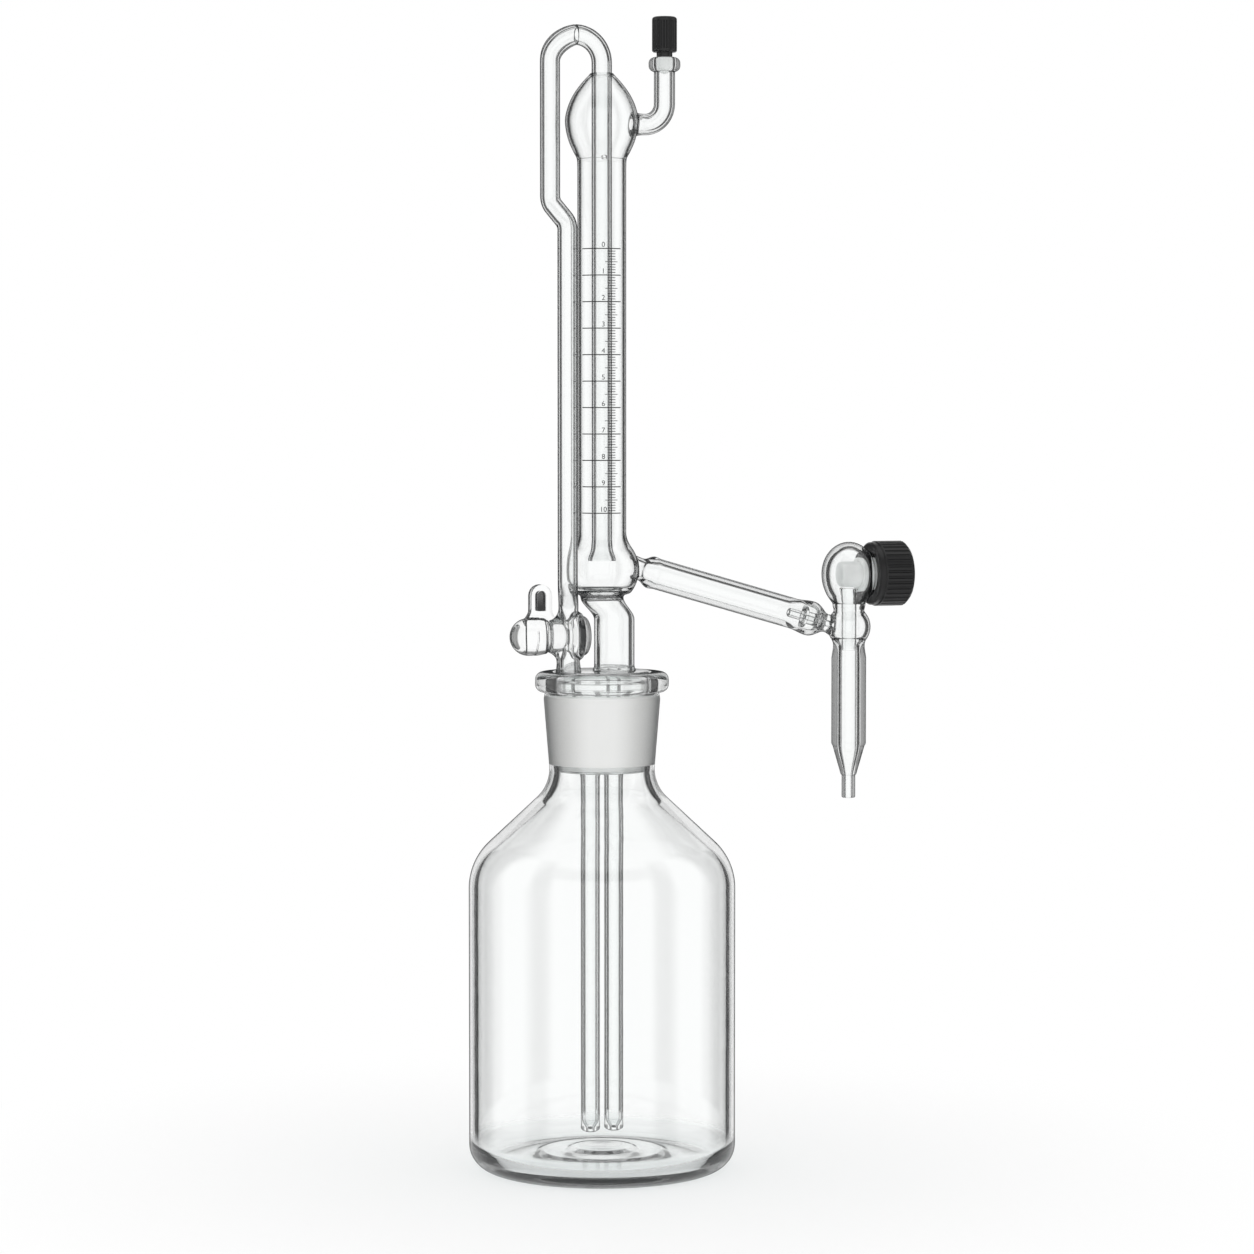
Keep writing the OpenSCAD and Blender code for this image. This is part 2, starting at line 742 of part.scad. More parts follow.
// Flared glass barrel with the riser's stubs and the tapered bore of the plug
module stopcock_barrel() {
    length = barrel_rim_x - barrel_mouth_x;
    bore_len = length - barrel_end_t;
    riser_r = riser_od / 2;
    foot_r = foot_od / 2;
    flare_h = 4;
    flare_w = 0.4;
    flare_r = riser_r + flare_w;
    outline = [for (i = [0:arc_steps])
        let (t = i / arc_steps) [barrel_mouth_r + (barrel_rim_r - barrel_mouth_r) * ease(t), length * t]];
    color(glass)
        difference() {
            union() {
                along_x(barrel_mouth_x, cock_z)
                    rotate_extrude() polygon(concat([[0, 0]], outline, [[0, length]]));
                translate([cock_x, 0, 0])
                    rotate_extrude()
                        polygon([
                            [0, foot_top_z], [foot_r, foot_top_z], [foot_r, cock_z],
                            [flare_r, cock_z + barrel_rim_r - flare_h], [riser_r, stub_z - flare_w],
                            [riser_r, stub_z], [0, stub_z]
                        ]);
            }
            along_x(barrel_mouth_x - cut, cock_z)
                cylinder(r1 = plug_r + plug_gap + plug_taper * cut,
                    r2 = plug_r + plug_gap - plug_taper * bore_len, h = bore_len + cut);
            translate([cock_x, 0, foot_top_z - cut])
                cylinder(d = riser_bore, h = stub_z - foot_top_z + 2 * cut);
        }
}

// Bulged disc that closes the barrel's wide end
module barrel_end_disc() {
    color(glass)
        along_x(barrel_rim_x, cock_z)
            rotate_extrude()
                polygon(concat([[0, 0]], oval(0, barrel_rim_r, barrel_disc_t, 0, 90)));
}

// Plug with its passage, band, ball head and the pad that carries the handle
module stopcock_plug() {
    ball_x = plug_face_x - band_len;
    plug_len = barrel_rim_x - barrel_mouth_x - barrel_end_t - plug_end_gap;
    color(glass)
        difference() {
            union() {
                along_x(barrel_mouth_x, cock_z)
                    cylinder(r1 = plug_r, r2 = plug_r - plug_taper * plug_len, h = plug_len);
                along_x(plug_face_x - cut, cock_z) cylinder(r = plug_r, h = plug_end_gap + cut);
                along_x(ball_x, cock_z) cylinder(r = band_r, h = band_len);
                translate([ball_x, 0, cock_z]) sphere(r = head_r);
                translate([handle_x - handle_w / 2, -handle_t / 2, cock_z])
                    cube([handle_w - handle_over, handle_t, pad_z - cock_z]);
            }
            translate([cock_x, 0, cock_z - head_r]) cylinder(d = plug_hole_d, h = 2 * head_r);
        }
}

// Upright loop handle with a rounded top
module stopcock_handle() {
    outer_r = handle_w / 2;
    slot_r = slot_w / 2;
    slot_z = 1.8;
    slot_top_z = handle_h - outer_r;
    color(glass)
        translate([handle_x, handle_t / 2, pad_z])
            rotate([90, 0, 0])
                linear_extrude(handle_t)
                    difference() {
                        union() {
                            translate([-outer_r, 0]) square([handle_w, slot_top_z]);
                            translate([0, slot_top_z]) circle(r = outer_r);
                        }
                        translate([-slot_r, slot_z]) square([slot_w, slot_top_z - slot_z]);
                        translate([0, slot_top_z]) circle(r = slot_r);
                    }
}

// Falling arm with a bead after its waist and a rounded, sealed end
module side_arm() {
    tube_r = arm_od / 2;
    inner_r = tube_r - arm_wall;
    waist_r = waist_od / 2;
    end_r = arm_end_od / 2;
    mouth_r = inlet_od / 2;
    bead_len = 3.2;
    end_len = 9;
    bulge_len = 4;
    round_r = end_r - mouth_r;
    round_z = arm_len - round_r;
    seal_len = 2.4;
    end_extra = 0.4;
    seal_r = jet_od / 2 + seal_gap;
    end_wall = arm_wall + end_extra;
    inner_end_a = 75;
    color(glass)
        along_arm(0)
            rotate_extrude()
                polygon(concat(
                    [[waist_r - arm_wall, 0], [waist_r, 0]],
                    [for (i = [1:arc_steps])
                        let (t = i / arc_steps) [waist_r + (tube_r - waist_r) * ease(t), bead_len * t]],
                    [for (i = [0:arc_steps])
                        let (t = i / arc_steps)
                            [tube_r + (end_r - tube_r) * ease(t), arm_len - end_len + bulge_len * t]],
                    arc([mouth_r, round_z], round_r, 0, 90),
                    [[seal_r, arm_len], [seal_r, arm_len - seal_len]],
                    arc([mouth_r, round_z], round_r - end_wall, inner_end_a, 0),
                    [[inner_r, arm_len - end_len], [inner_r, bead_len]]
                ));
}

// Capillary that stands inside the arm's end
module arm_jet() {
    color(glass)
        along_arm(arm_len - jet_len) tube(jet_od, jet_bore, jet_len);
}

// Valve chamber along X over the ball that takes the arm, as one shell
module valve_body() {
    chamber_r = chamber_od / 2;
    half_t = chamber_t / 2;
    inner_r = chamber_r - valve_wall;
    inner_half_t = half_t - valve_wall;
    valve_neck_r = valve_neck_od / 2;
    seat_r = bushing_r + seal_gap;
    neck_a = asin(valve_neck_r / chamber_r);
    seat_a = asin(seat_r / inner_r);
    ball_r = ball_od / 2;
    passage_gap = 0.9;
    passage_r = drop_od / 2 + passage_gap;
    color(glass)
        difference() {
            union() {
                along_x(valve_x, chamber_z)
                    rotate_extrude()
                        polygon(concat(
                            [for (i = [0:2 * arc_steps])
                                let (a = (180 - neck_a) * i / (2 * arc_steps))
                                    [chamber_r * sin(a), -half_t * cos(a)]],
                            [[valve_neck_r, valve_neck_reach], [0, valve_neck_reach]]
                        ));
                translate([valve_x, 0, ball_z]) {
                    cylinder(d = stem_od, h = chamber_rise);
                    sphere(r = ball_r);
                }
                translate([valve_x, 0, outlet_z]) cylinder(d = outlet_od, h = ball_z - outlet_z);
                along_arm(arm_len) cylinder(d = inlet_od, h = inlet_len + ball_r);
            }
            along_x(valve_x, chamber_z)
                rotate_extrude()
                    polygon(concat(
                        [for (i = [0:2 * arc_steps])
                            let (a = (180 - seat_a) * i / (2 * arc_steps))
                                [inner_r * sin(a), -inner_half_t * cos(a)]],
                        [[seat_r, valve_neck_reach + cut], [0, valve_neck_reach + cut]]
                    ));
            translate([valve_x, 0, ball_z]) {
                cylinder(r = passage_r, h = chamber_rise);
                sphere(r = ball_r - valve_wall);
            }
            translate([valve_x, 0, outlet_z - cut])
                cylinder(d = drop_od + 2 * seal_gap, h = ball_z - outlet_z);
            along_arm(arm_len - cut) cylinder(d = jet_bore, h = inlet_len + ball_r);
        }
}

// Tube from the chamber down to the outlet, under the piston
module drop_tube() {
    color(glass)
        translate([valve_x, 0, outlet_z]) tube(drop_od, drop_bore, drop_top_z - outlet_z);
}

module delivery_tube() {
    color(glass)
        translate([valve_x, 0, tip_cone_z]) tube(outlet_od, outlet_bore, outlet_len);
}

// Drawn tip under the delivery tube
module delivery_tip() {
    shoulder = 0.8;
    color(glass)
        translate([valve_x, 0, tip_z])
            difference() {
                union() {
                    translate([0, 0, -tip_len]) cylinder(d = tip_od, h = tip_len);
                    cylinder(d1 = tip_cone_d, d2 = outlet_od - shoulder, h = tip_cone_len);
                }
                translate([0, 0, -tip_len - cut]) cylinder(d = tip_bore, h = tip_len + 2 * cut);
                cylinder(d1 = tip_bore, d2 = outlet_bore, h = tip_cone_len);
                translate([0, 0, tip_cone_len - cut]) cylinder(d = outlet_bore, h = 2 * cut);
            }
}

// Sleeve in the chamber's neck that guides the piston
module valve_bushing() {
    color(white_polymer)
        along_x(valve_x + bushing_x, chamber_z)
            tube(2 * bushing_r, piston_d + 2 * piston_gap, valve_neck_reach - bushing_x);
}

// Offsets of the seal rings from the piston's nose
function ring_places() = [for (i = [0:1]) bushing_x + piston_lead + ring_inset + ring_pitch * i];

module valve_piston() {
    nose_round = 1;
    piston_r = piston_d / 2;
    nose_r = piston_r - nose_round;
    length = piston_end_x + piston_lead;
    color(white_polymer)
        along_x(valve_x - piston_lead, chamber_z)
            difference() {
                rotate_extrude()
                    polygon(concat(
                        [[0, 0]],
                        arc([nose_r, nose_round], nose_round, -90, 0),
                        [[piston_r, length], [0, length]]
                    ));
                for (s = ring_places())
                    translate([0, 0, s]) tube(piston_d + 2 * cut, piston_d - 2 * ring_depth, ring_w);
            }
}

module piston_rings() {
    color(dark_seal)
        along_x(valve_x - piston_lead, chamber_z)
            for (s = ring_places())
                translate([0, 0, s]) tube(piston_d + 2 * ring_proud, piston_d - 2 * ring_depth, ring_w);
}

// Grooved cap with a smooth collar, a bored neck side and the socket of the piston's end
module valve_cap() {
    cap_r = cap_od / 2;
    collar_step = 0.4;
    collar_r = cap_r - collar_step;
    edge = 0.5;
    bore_r = valve_neck_od / 2 + cap_gap;
    bore_len = cap_len - cap_end_t;
    groove_z = cap_collar_len + 2 * collar_step;
    groove_len = cap_len - cap_chamfer + collar_step - groove_z;
    socket_r = piston_d / 2 + piston_gap;
    socket_end = piston_end_x - cap_x + socket_play;
    color(black_polymer)
        along_x(valve_x + cap_x, chamber_z)
            difference() {
                rotate_extrude()
                    polygon([
                        [bore_r, 0], [collar_r - edge, 0], [collar_r, edge], [collar_r, cap_collar_len],
                        [cap_r, cap_collar_len + collar_step], [cap_r, cap_len - cap_chamfer],
                        [cap_r - cap_chamfer, cap_len], [0, cap_len], [0, socket_end],
                        [socket_r, socket_end], [socket_r, bore_len], [bore_r, bore_len]
                    ]);
                for (i = [0:cap_grooves - 1])
                    rotate([0, 0, 360 * (i + 0.5) / cap_grooves])
                        translate([cap_r, 0, groove_z])
                            cylinder(d = cap_groove_d, h = groove_len, $fn = 16);
            }
}

module vent_arm() {
    color(glass)
        translate([vent_stub_x, 0, vent_z]) {
            rotate([0, 90, 0]) rotate([0, 0, 180]) bend(vent_od, vent_bore, vent_bend_r, 90);
            translate([vent_bend_r, 0, vent_bend_r]) tube(vent_od, vent_bore, vent_h);
        }
}

// Rounded bead on the vent tube with the seat of the bushing
module vent_collar() {
    round_r = 1.6;
    collar_r = collar_od / 2;
    seat_r = vent_bushing_d / 2 + seal_gap;
    seat_z = vent_bushing_z - collar_z;
    color(glass)
        translate([vent_x, 0, collar_z])
            rotate_extrude()
                polygon(concat(
                    [[vent_bore / 2, 0]],
                    arc([collar_r - round_r, round_r], round_r, -90, 0),
                    arc([collar_r - round_r, collar_h - round_r], round_r, 0, 90),
                    [[seat_r, collar_h], [seat_r, seat_z], [vent_bore / 2, seat_z]]
                ));
}

module vent_bushing() {
    color(white_polymer)
        translate([vent_x, 0, vent_bushing_z])
            tube(vent_bushing_d, spindle_d + 2 * spindle_gap, bushing_top_z - vent_bushing_z);
}

// Spindle with a rounded lower end, up into the knob
module vent_spindle() {
    spindle_r = spindle_d / 2;
    bottom_z = collar_z - spindle_lead;
    color(dark_seal)
        translate([vent_x, 0, bottom_z]) {
            translate([0, 0, spindle_r]) cylinder(r = spindle_r, h = spindle_top_z - bottom_z - spindle_r);
            translate([0, 0, spindle_r]) sphere(r = spindle_r);
        }
}

module vent_knob() {
    knob_r = knob_od / 2;
    round_r = 0.9;
    edge = 0.4;
    groove_z = 1;
    groove_len = knob_h - groove_z - round_r - edge;
    socket_r = spindle_d / 2 + spindle_gap;
    socket_end = spindle_top_z - knob_z + socket_play;
    color(black_polymer)
        translate([vent_x, 0, knob_z])
            difference() {
                rotate_extrude()
                    polygon(concat(
                        [[socket_r, 0], [knob_r - edge, 0], [knob_r, edge]],
                        arc([knob_r - round_r, knob_h - round_r], round_r, 0, 90),
                        [[0, knob_h], [0, socket_end], [socket_r, socket_end]]
                    ));
                for (i = [0:knob_grooves - 1])
                    rotate([0, 0, 360 * (i + 0.5) / knob_grooves])
                        translate([knob_r, 0, groove_z])
                            cylinder(d = knob_groove_d, h = groove_len, $fn = 16);
            }
}

reservoir_bottle();
ground_cone();
riser_link();
return_link();
supply_dip_tube();
return_dip_tube();
support_tube();
support_offset();
lower_bulb();
burette_tube();
upper_bulb();
fill_tube();
fill_bend();
riser_bend();
riser_upper();
riser_tube();
riser_jog();
riser_foot();
stopcock_barrel();
barrel_end_disc();
stopcock_plug();
stopcock_handle();
side_arm();
arm_jet();
valve_body();
drop_tube();
delivery_tube();
delivery_tip();
valve_bushing();
valve_piston();
piston_rings();
valve_cap();
vent_arm();
vent_collar();
vent_bushing();
vent_spindle();
vent_knob();
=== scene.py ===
"""Looks of an automatic zero burette: blown glass, ground joint, screw valves and scale."""

import math

import bmesh
import bpy
from mathutils import Matrix, Vector
from mathutils.geometry import interpolate_bezier


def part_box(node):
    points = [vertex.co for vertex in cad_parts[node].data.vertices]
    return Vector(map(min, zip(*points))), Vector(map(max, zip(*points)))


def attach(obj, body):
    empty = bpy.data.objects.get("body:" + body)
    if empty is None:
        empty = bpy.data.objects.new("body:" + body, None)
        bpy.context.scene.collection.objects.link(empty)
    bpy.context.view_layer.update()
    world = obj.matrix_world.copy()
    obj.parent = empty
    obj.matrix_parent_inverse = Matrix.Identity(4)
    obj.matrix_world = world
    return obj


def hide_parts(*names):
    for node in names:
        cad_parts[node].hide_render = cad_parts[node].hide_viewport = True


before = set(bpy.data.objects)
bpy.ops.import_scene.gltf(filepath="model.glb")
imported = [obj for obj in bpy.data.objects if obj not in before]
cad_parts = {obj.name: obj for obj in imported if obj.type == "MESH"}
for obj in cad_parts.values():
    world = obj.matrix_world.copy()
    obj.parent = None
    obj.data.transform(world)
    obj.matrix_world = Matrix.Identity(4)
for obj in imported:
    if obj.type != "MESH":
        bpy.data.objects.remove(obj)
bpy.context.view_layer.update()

MM = 0.001
weld = 0.002  # points closer than this, in millimetres, are made one


def node_box(name):
    """Lowest and highest corner of a CAD node, in millimetres."""
    low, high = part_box(name)
    return low / MM, high / MM


def middle(name):
    low, high = node_box(name)
    return (low + high) / 2


def ends_z(name):
    """Heights of a CAD node's lowest and highest place, in millimetres."""
    low, high = node_box(name)
    return low.z, high.z


# Places from the CAD nodes, in millimetres
inside = 0.03  # keeps the bottle's round wall within the box of its solid
bottle_r = node_box("reservoir_bottle")[1].x - inside
rim_z = node_box("reservoir_bottle")[1].z
socket_z, cone_top_z = ends_z("ground_cone")
dip_x = middle("return_dip_tube").x
dip_end_z = node_box("return_dip_tube")[0].z
support_x = middle("support_tube").x
support_r = node_box("support_tube")[1].x - support_x
lower_neck_z = node_box("support_offset")[1].z
lower_r = -node_box("lower_bulb")[0].x
lower_z = lower_neck_z + lower_r
tube_r = node_box("burette_tube")[1].x
tube_z, tube_top_z = ends_z("burette_tube")
upper_top_z = node_box("upper_bulb")[1].z
mouth_z, loop_z = ends_z("fill_tube")
fill_r = node_box("fill_bend")[1].x
loop_r = node_box("fill_bend")[1].z - loop_z - fill_r
run = middle("riser_tube")
riser_r = node_box("riser_tube")[1].x - run.x
cock_x = middle("riser_foot").x
foot_r = node_box("riser_foot")[1].x - cock_x
stub_z, jog_top_z = ends_z("riser_jog")
high_jog_z = node_box("riser_tube")[1].z
barrel_x = node_box("stopcock_barrel")[0].x
disc_low, disc_high = node_box("barrel_end_disc")
rim_x, disc_x, rim_r = disc_low.x, disc_high.x, disc_high.y
cock_z = middle("barrel_end_disc").z
head_x = node_box("stopcock_plug")[0].x
handle_low, handle_high = node_box("stopcock_handle")
valve = middle("delivery_tube")
outlet_r = node_box("delivery_tube")[1].x - valve.x
cone_z, outlet_z = ends_z("delivery_tube")
tip_end_z = node_box("delivery_tip")[0].z
chamber_z = middle("valve_piston").z
neck_end_x = node_box("valve_bushing")[1].x
vent_x = middle("vent_collar").x
collar_z, collar_top_z = ends_z("vent_collar")
collar_r = node_box("vent_collar")[1].x - vent_x
vent_r = node_box("vent_arm")[1].x - vent_x
vent_z = node_box("vent_arm")[0].z + vent_r
knob_z = node_box("vent_knob")[0].z

# Sizes of the glass, in millimetres
flange_z = rim_z - 6.4
neck_z = flange_z - 24.7
flange_r = 21.5
bottle_wall = 2.6
joint_rim_r = 15.5
joint_slope = 0.05
lower_wall = 1.3
upper_wall = 1.2
tube_wall = 0.9
support_wall = 1.6
riser_wall = 1.2
arm_slope = math.radians(16)
arm_start = Vector((13.2, 0, lower_z - 0.1))
arm_len = 66
arm_r = 5.0
arm_wall = 1.9
ball_r = 7.1
ball_z = outlet_z + ball_r + 0.7
photo_azimuth = math.radians(-19.5)


# Outlines: lists of (radius, height) points, in millimetres


def on_circle(centre, radius, degrees):
    angle = math.radians(degrees)
    return centre[0] + radius * math.cos(angle), centre[1] + radius * math.sin(angle)


def arc(centre, radius, start, end, steps):
    """Points round a centre, from one angle to another, in degrees."""
    return [on_circle(centre, radius, start + (end - start) * step / steps) for step in range(steps + 1)]


def flow(start, leaving, end, arriving, steps, pull=0.36):
    """Smooth curve, as of blown glass, that leaves one point and arrives at another in given directions."""
    first, last = Vector((*start, 0)), Vector((*end, 0))
    reach = pull * (last - first).length
    out = Vector((*leaving, 0)).normalized() * reach
    into = Vector((*arriving, 0)).normalized() * reach
    return [(p.x, p.y) for p in interpolate_bezier(first, first + out, last - into, last, steps + 1)]


def through(points, steps=5):
    """Smooth curve through measured points."""
    spots = [Vector((*point, 0)) for point in points]
    slopes = [spots[min(i + 1, len(spots) - 1)] - spots[max(i - 1, 0)] for i in range(len(spots))]
    curve = [points[0]]
    for first, last, leaving, arriving in zip(spots, spots[1:], slopes, slopes[1:]):
        span = (last - first).length / 3
        out, into = leaving.normalized() * span, arriving.normalized() * span
        stretch = interpolate_bezier(first, first + out, last - into, last, steps + 1)
        curve += [(p.x, p.y) for p in stretch[1:]]
    return curve


def ease(t):
    """Soft step from 0 to 1."""
    t = min(max(t, 0), 1)
    return t * t * (3 - 2 * t)


# Meshes, in millimetres until a piece is finished


def unique(items):
    """Items once each, in their order, so that each run builds the same mesh."""
    return list(dict.fromkeys(items))


def revolve(outline, steps, loop=False):
    """Closed shell from an outline turned round Z. loop joins the last point to the first, for a ring."""
    bm = bmesh.new()
    verts = [bm.verts.new((max(r, 0), 0, z)) for r, z in outline]
    edges = [bm.edges.new(pair) for pair in zip(verts, verts[1:])]
    if loop:
        edges.append(bm.edges.new((verts[-1], verts[0])))
    bmesh.ops.spin(bm, geom=verts + edges, cent=(0, 0, 0), axis=(0, 0, 1), angle=2 * math.pi, steps=steps,
                   use_merge=True)
    bmesh.ops.remove_doubles(bm, verts=bm.verts, dist=weld)
    bmesh.ops.recalc_face_normals(bm, faces=bm.faces)
    return bm


def cylinder(radius, low, high, steps):
    return revolve([(0, low), (radius, low), (radius, high), (0, high)], steps)


def along(bm, origin, direction=(0, 0, 1)):
    """Turns a shape's +Z to a direction and moves it to an origin."""
    turn = Vector((0, 0, 1)).rotation_difference(Vector(direction)).to_matrix().to_4x4()
    bmesh.ops.transform(bm, matrix=Matrix.Translation(origin) @ turn, verts=bm.verts)
    return bm


def rounded(corners, bend_r, steps=10):
    """Path through corners, each rounded to a bend radius."""
    path = [Vector(corners[0])]
    for before, corner, after in zip(corners, corners[1:], corners[2:]):
        before, corner, after = Vector(before), Vector(corner), Vector(after)
        into, out = (corner - before).normalized(), (after - corner).normalized()
        half = into.angle(out) / 2
        reach = bend_r * math.tan(half)
        start, end = corner - into * reach, corner + out * reach
        pull = 4 / 3 * math.tan(half / 2) * bend_r
        path += interpolate_bezier(start, start + into * pull, end - out * pull, end, steps + 1)
    path.append(Vector(corners[-1]))
    return path


def rod(path, radii, sides=48):
    """Closed rod along a path, with a radius at each point or one for all."""
    if not isinstance(radii, list):
        radii = [radii] * len(path)
    last = len(path) - 1
    tangents = [(path[min(i + 1, last)] - path[max(i - 1, 0)]).normalized() for i in range(last + 1)]
    bm = bmesh.new()
    ring = bmesh.ops.create_circle(bm, cap_ends=True, radius=radii[0], segments=sides)["verts"]
    turn = Vector((0, 0, 1)).rotation_difference(tangents[0])
    for vert in ring:
        vert.co = path[0] + turn @ vert.co
    edges = unique(edge for vert in ring for edge in vert.link_edges)
    for i in range(1, last + 1):
        made = bmesh.ops.extrude_edge_only(bm, edges=edges)["geom"]
        turn = tangents[i - 1].rotation_difference(tangents[i])
        growth = radii[i] / radii[i - 1]
        for item in made:
            if isinstance(item, bmesh.types.BMVert):
                item.co = path[i] + (turn @ (item.co - path[i - 1])) * growth
        edges = [item for item in made if isinstance(item, bmesh.types.BMEdge) and item.is_boundary]
    bmesh.ops.edgeloop_fill(bm, edges=edges)
    bmesh.ops.recalc_face_normals(bm, faces=bm.faces)
    return bm


def as_object(bm, name="work"):
    mesh = bpy.data.meshes.new(name)
    bm.to_mesh(mesh)
    bm.free()
    made = bpy.data.objects.new(name, mesh)
    bpy.context.collection.objects.link(made)
    return made


def combine(base, tool, operation):
    """Boolean of two closed shapes: UNION or DIFFERENCE."""
    first, second = as_object(base), as_object(tool)
    change = first.modifiers.new("join", "BOOLEAN")
    change.operation = operation
    change.solver = "MANIFOLD"
    change.object = second
    bpy.context.view_layer.update()
    result = bmesh.new()
    result.from_object(first, bpy.context.evaluated_depsgraph_get())
    for used in (first, second):
        mesh = used.data
        bpy.data.objects.remove(used)
        bpy.data.meshes.remove(mesh)
    bmesh.ops.remove_doubles(result, verts=result.verts, dist=weld)
    return result


def soften(bm, centre, reach, width, rounds=10, crease=25):
    """Melts the crease where two tubes meet, near a centre, into a fillet."""
    centre, longest = Vector(centre), 0.5
    sharp = [edge for edge in bm.edges
             if (edge.verts[0].co - centre).length < reach and len(edge.link_faces) == 2
             and edge.calc_face_angle(0) > math.radians(crease)]
    spine = [vert.co.copy() for edge in sharp for vert in edge.verts]
    if not spine:
        return bm

    def beside_crease():
        return [vert for vert in bm.verts if (vert.co - centre).length < reach + width
                and any((vert.co - point).length < width for point in spine)]

    chosen = beside_crease()
    bmesh.ops.triangulate(bm, faces=unique(face for vert in chosen for face in vert.link_faces))
    long_edges = unique(edge for vert in chosen for edge in vert.link_edges if edge.calc_length() > longest)
    bmesh.ops.subdivide_edges(bm, edges=long_edges, cuts=1)
    bmesh.ops.triangulate(bm, faces=[face for face in bm.faces if len(face.verts) > 4])
    chosen = beside_crease()
    for _ in range(rounds):
        bmesh.ops.smooth_vert(bm, verts=chosen, factor=0.5, use_axis_x=True, use_axis_y=True, use_axis_z=True)
    return bm


def piece(bm, name, body, material, stands_for=(), sharp=38, greased=None):
    """Finished piece in metres, smooth but for its creases, that rides on a body.

    greased says of a place in millimetres whether it lies on a greased joint.
    """
    for face in bm.faces:
        face.material_index = 1 if greased and greased(face.calc_center_median()) else 0
        face.smooth = True
    bmesh.ops.scale(bm, vec=(MM, MM, MM), verts=bm.verts)
    for edge in bm.edges:
        edge.smooth = edge.calc_face_angle(0) < math.radians(sharp)
    made = as_object(bm, name)
    made.data.materials.append(material)
    if greased:
        made.data.materials.append(joint_grease)
    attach(made, body)
    if stands_for:
        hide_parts(*stands_for)


# Materials


class Wire:
    """A socket of a material. Operators on it add Math nodes."""

    def __init__(self, tree, socket=None):
        self.tree = tree
        self.socket = socket

    def node(self, kind, settings=None, values=None, out=0):
        made = self.tree.nodes.new(kind)
        for key, value in (settings or {}).items():
            if key == "stops":
                stops = made.color_ramp.elements
                while len(stops) < len(value):
                    stops.new(1)
                for stop, (place, colour) in zip(stops, value):
                    stop.position = place
                    stop.color = (*colour, 1)
            else:
                setattr(made, key, value)
        for key, value in (values or {}).items():
            if isinstance(value, Wire):
                self.tree.links.new(value.socket, made.inputs[key])
            else:
                made.inputs[key].default_value = value
        return Wire(self.tree, made.outputs[out] if made.outputs else None)

    def math(self, operation, first, second):
        return self.node("ShaderNodeMath", {"operation": operation}, {0: first, 1: second})

    def __add__(self, other):
        return self.math("ADD", self, other)

    def __sub__(self, other):
        return self.math("SUBTRACT", self, other)

    def __rsub__(self, other):
        return self.math("SUBTRACT", other, self)

    def __mul__(self, other):
        return self.math("MULTIPLY", self, other)

    def __pow__(self, other):
        return self.math("POWER", self, other)

    def __rpow__(self, other):
        return self.math("POWER", other, self)

    __radd__ = __add__
    __rmul__ = __mul__

    def either(self, other):
        """The greater of two values."""
        return self.math("MAXIMUM", self, other)

    def ramp(self, low, high):
        """0 below low, 1 above high, eased between."""
        return self.node("ShaderNodeMapRange", {"interpolation_type": "SMOOTHSTEP"},
                         {"Value": self, "From Min": low, "From Max": high})

    def noise(self, place, scale, detail):
        return self.node("ShaderNodeTexNoise", values={"Vector": place, "Scale": scale, "Detail": detail})

    def ray(self, kind):
        return self.node("ShaderNodeLightPath", out=kind)

    def place(self):
        """Position on the object, in metres."""
        return self.node("ShaderNodeTexCoord", out="Object")

    def axis(self, name):
        return self.node("ShaderNodeSeparateXYZ", values={"Vector": self}, out=name)

    def facing(self):
        """0 where a surface faces the view, 1 at its outline."""
        return self.node("ShaderNodeLayerWeight", values={"Blend": 0.5}, out="Facing")

    def see_through(self, tint):
        return self.node("ShaderNodeBsdfTransparent", values={"Color": (*tint, 1)})

    def diffuse(self, tone):
        return self.node("ShaderNodeBsdfDiffuse", values={"Color": (*tone, 1)})

    def mix(self, factor, first, second):
        return self.node("ShaderNodeMixShader", values={0: factor, 1: first, 2: second})


def with_nodes(name, library=bpy.data.materials):
    """New material or world with an empty node tree, and a wire to fill it."""
    made = library.new(name)
    made.use_nodes = True
    made.node_tree.nodes.clear()
    return made, Wire(made.node_tree)


def output(wire, shader, kind="ShaderNodeOutputMaterial"):
    wire.node(kind, values={"Surface": shader})


glass_ior = 1.47


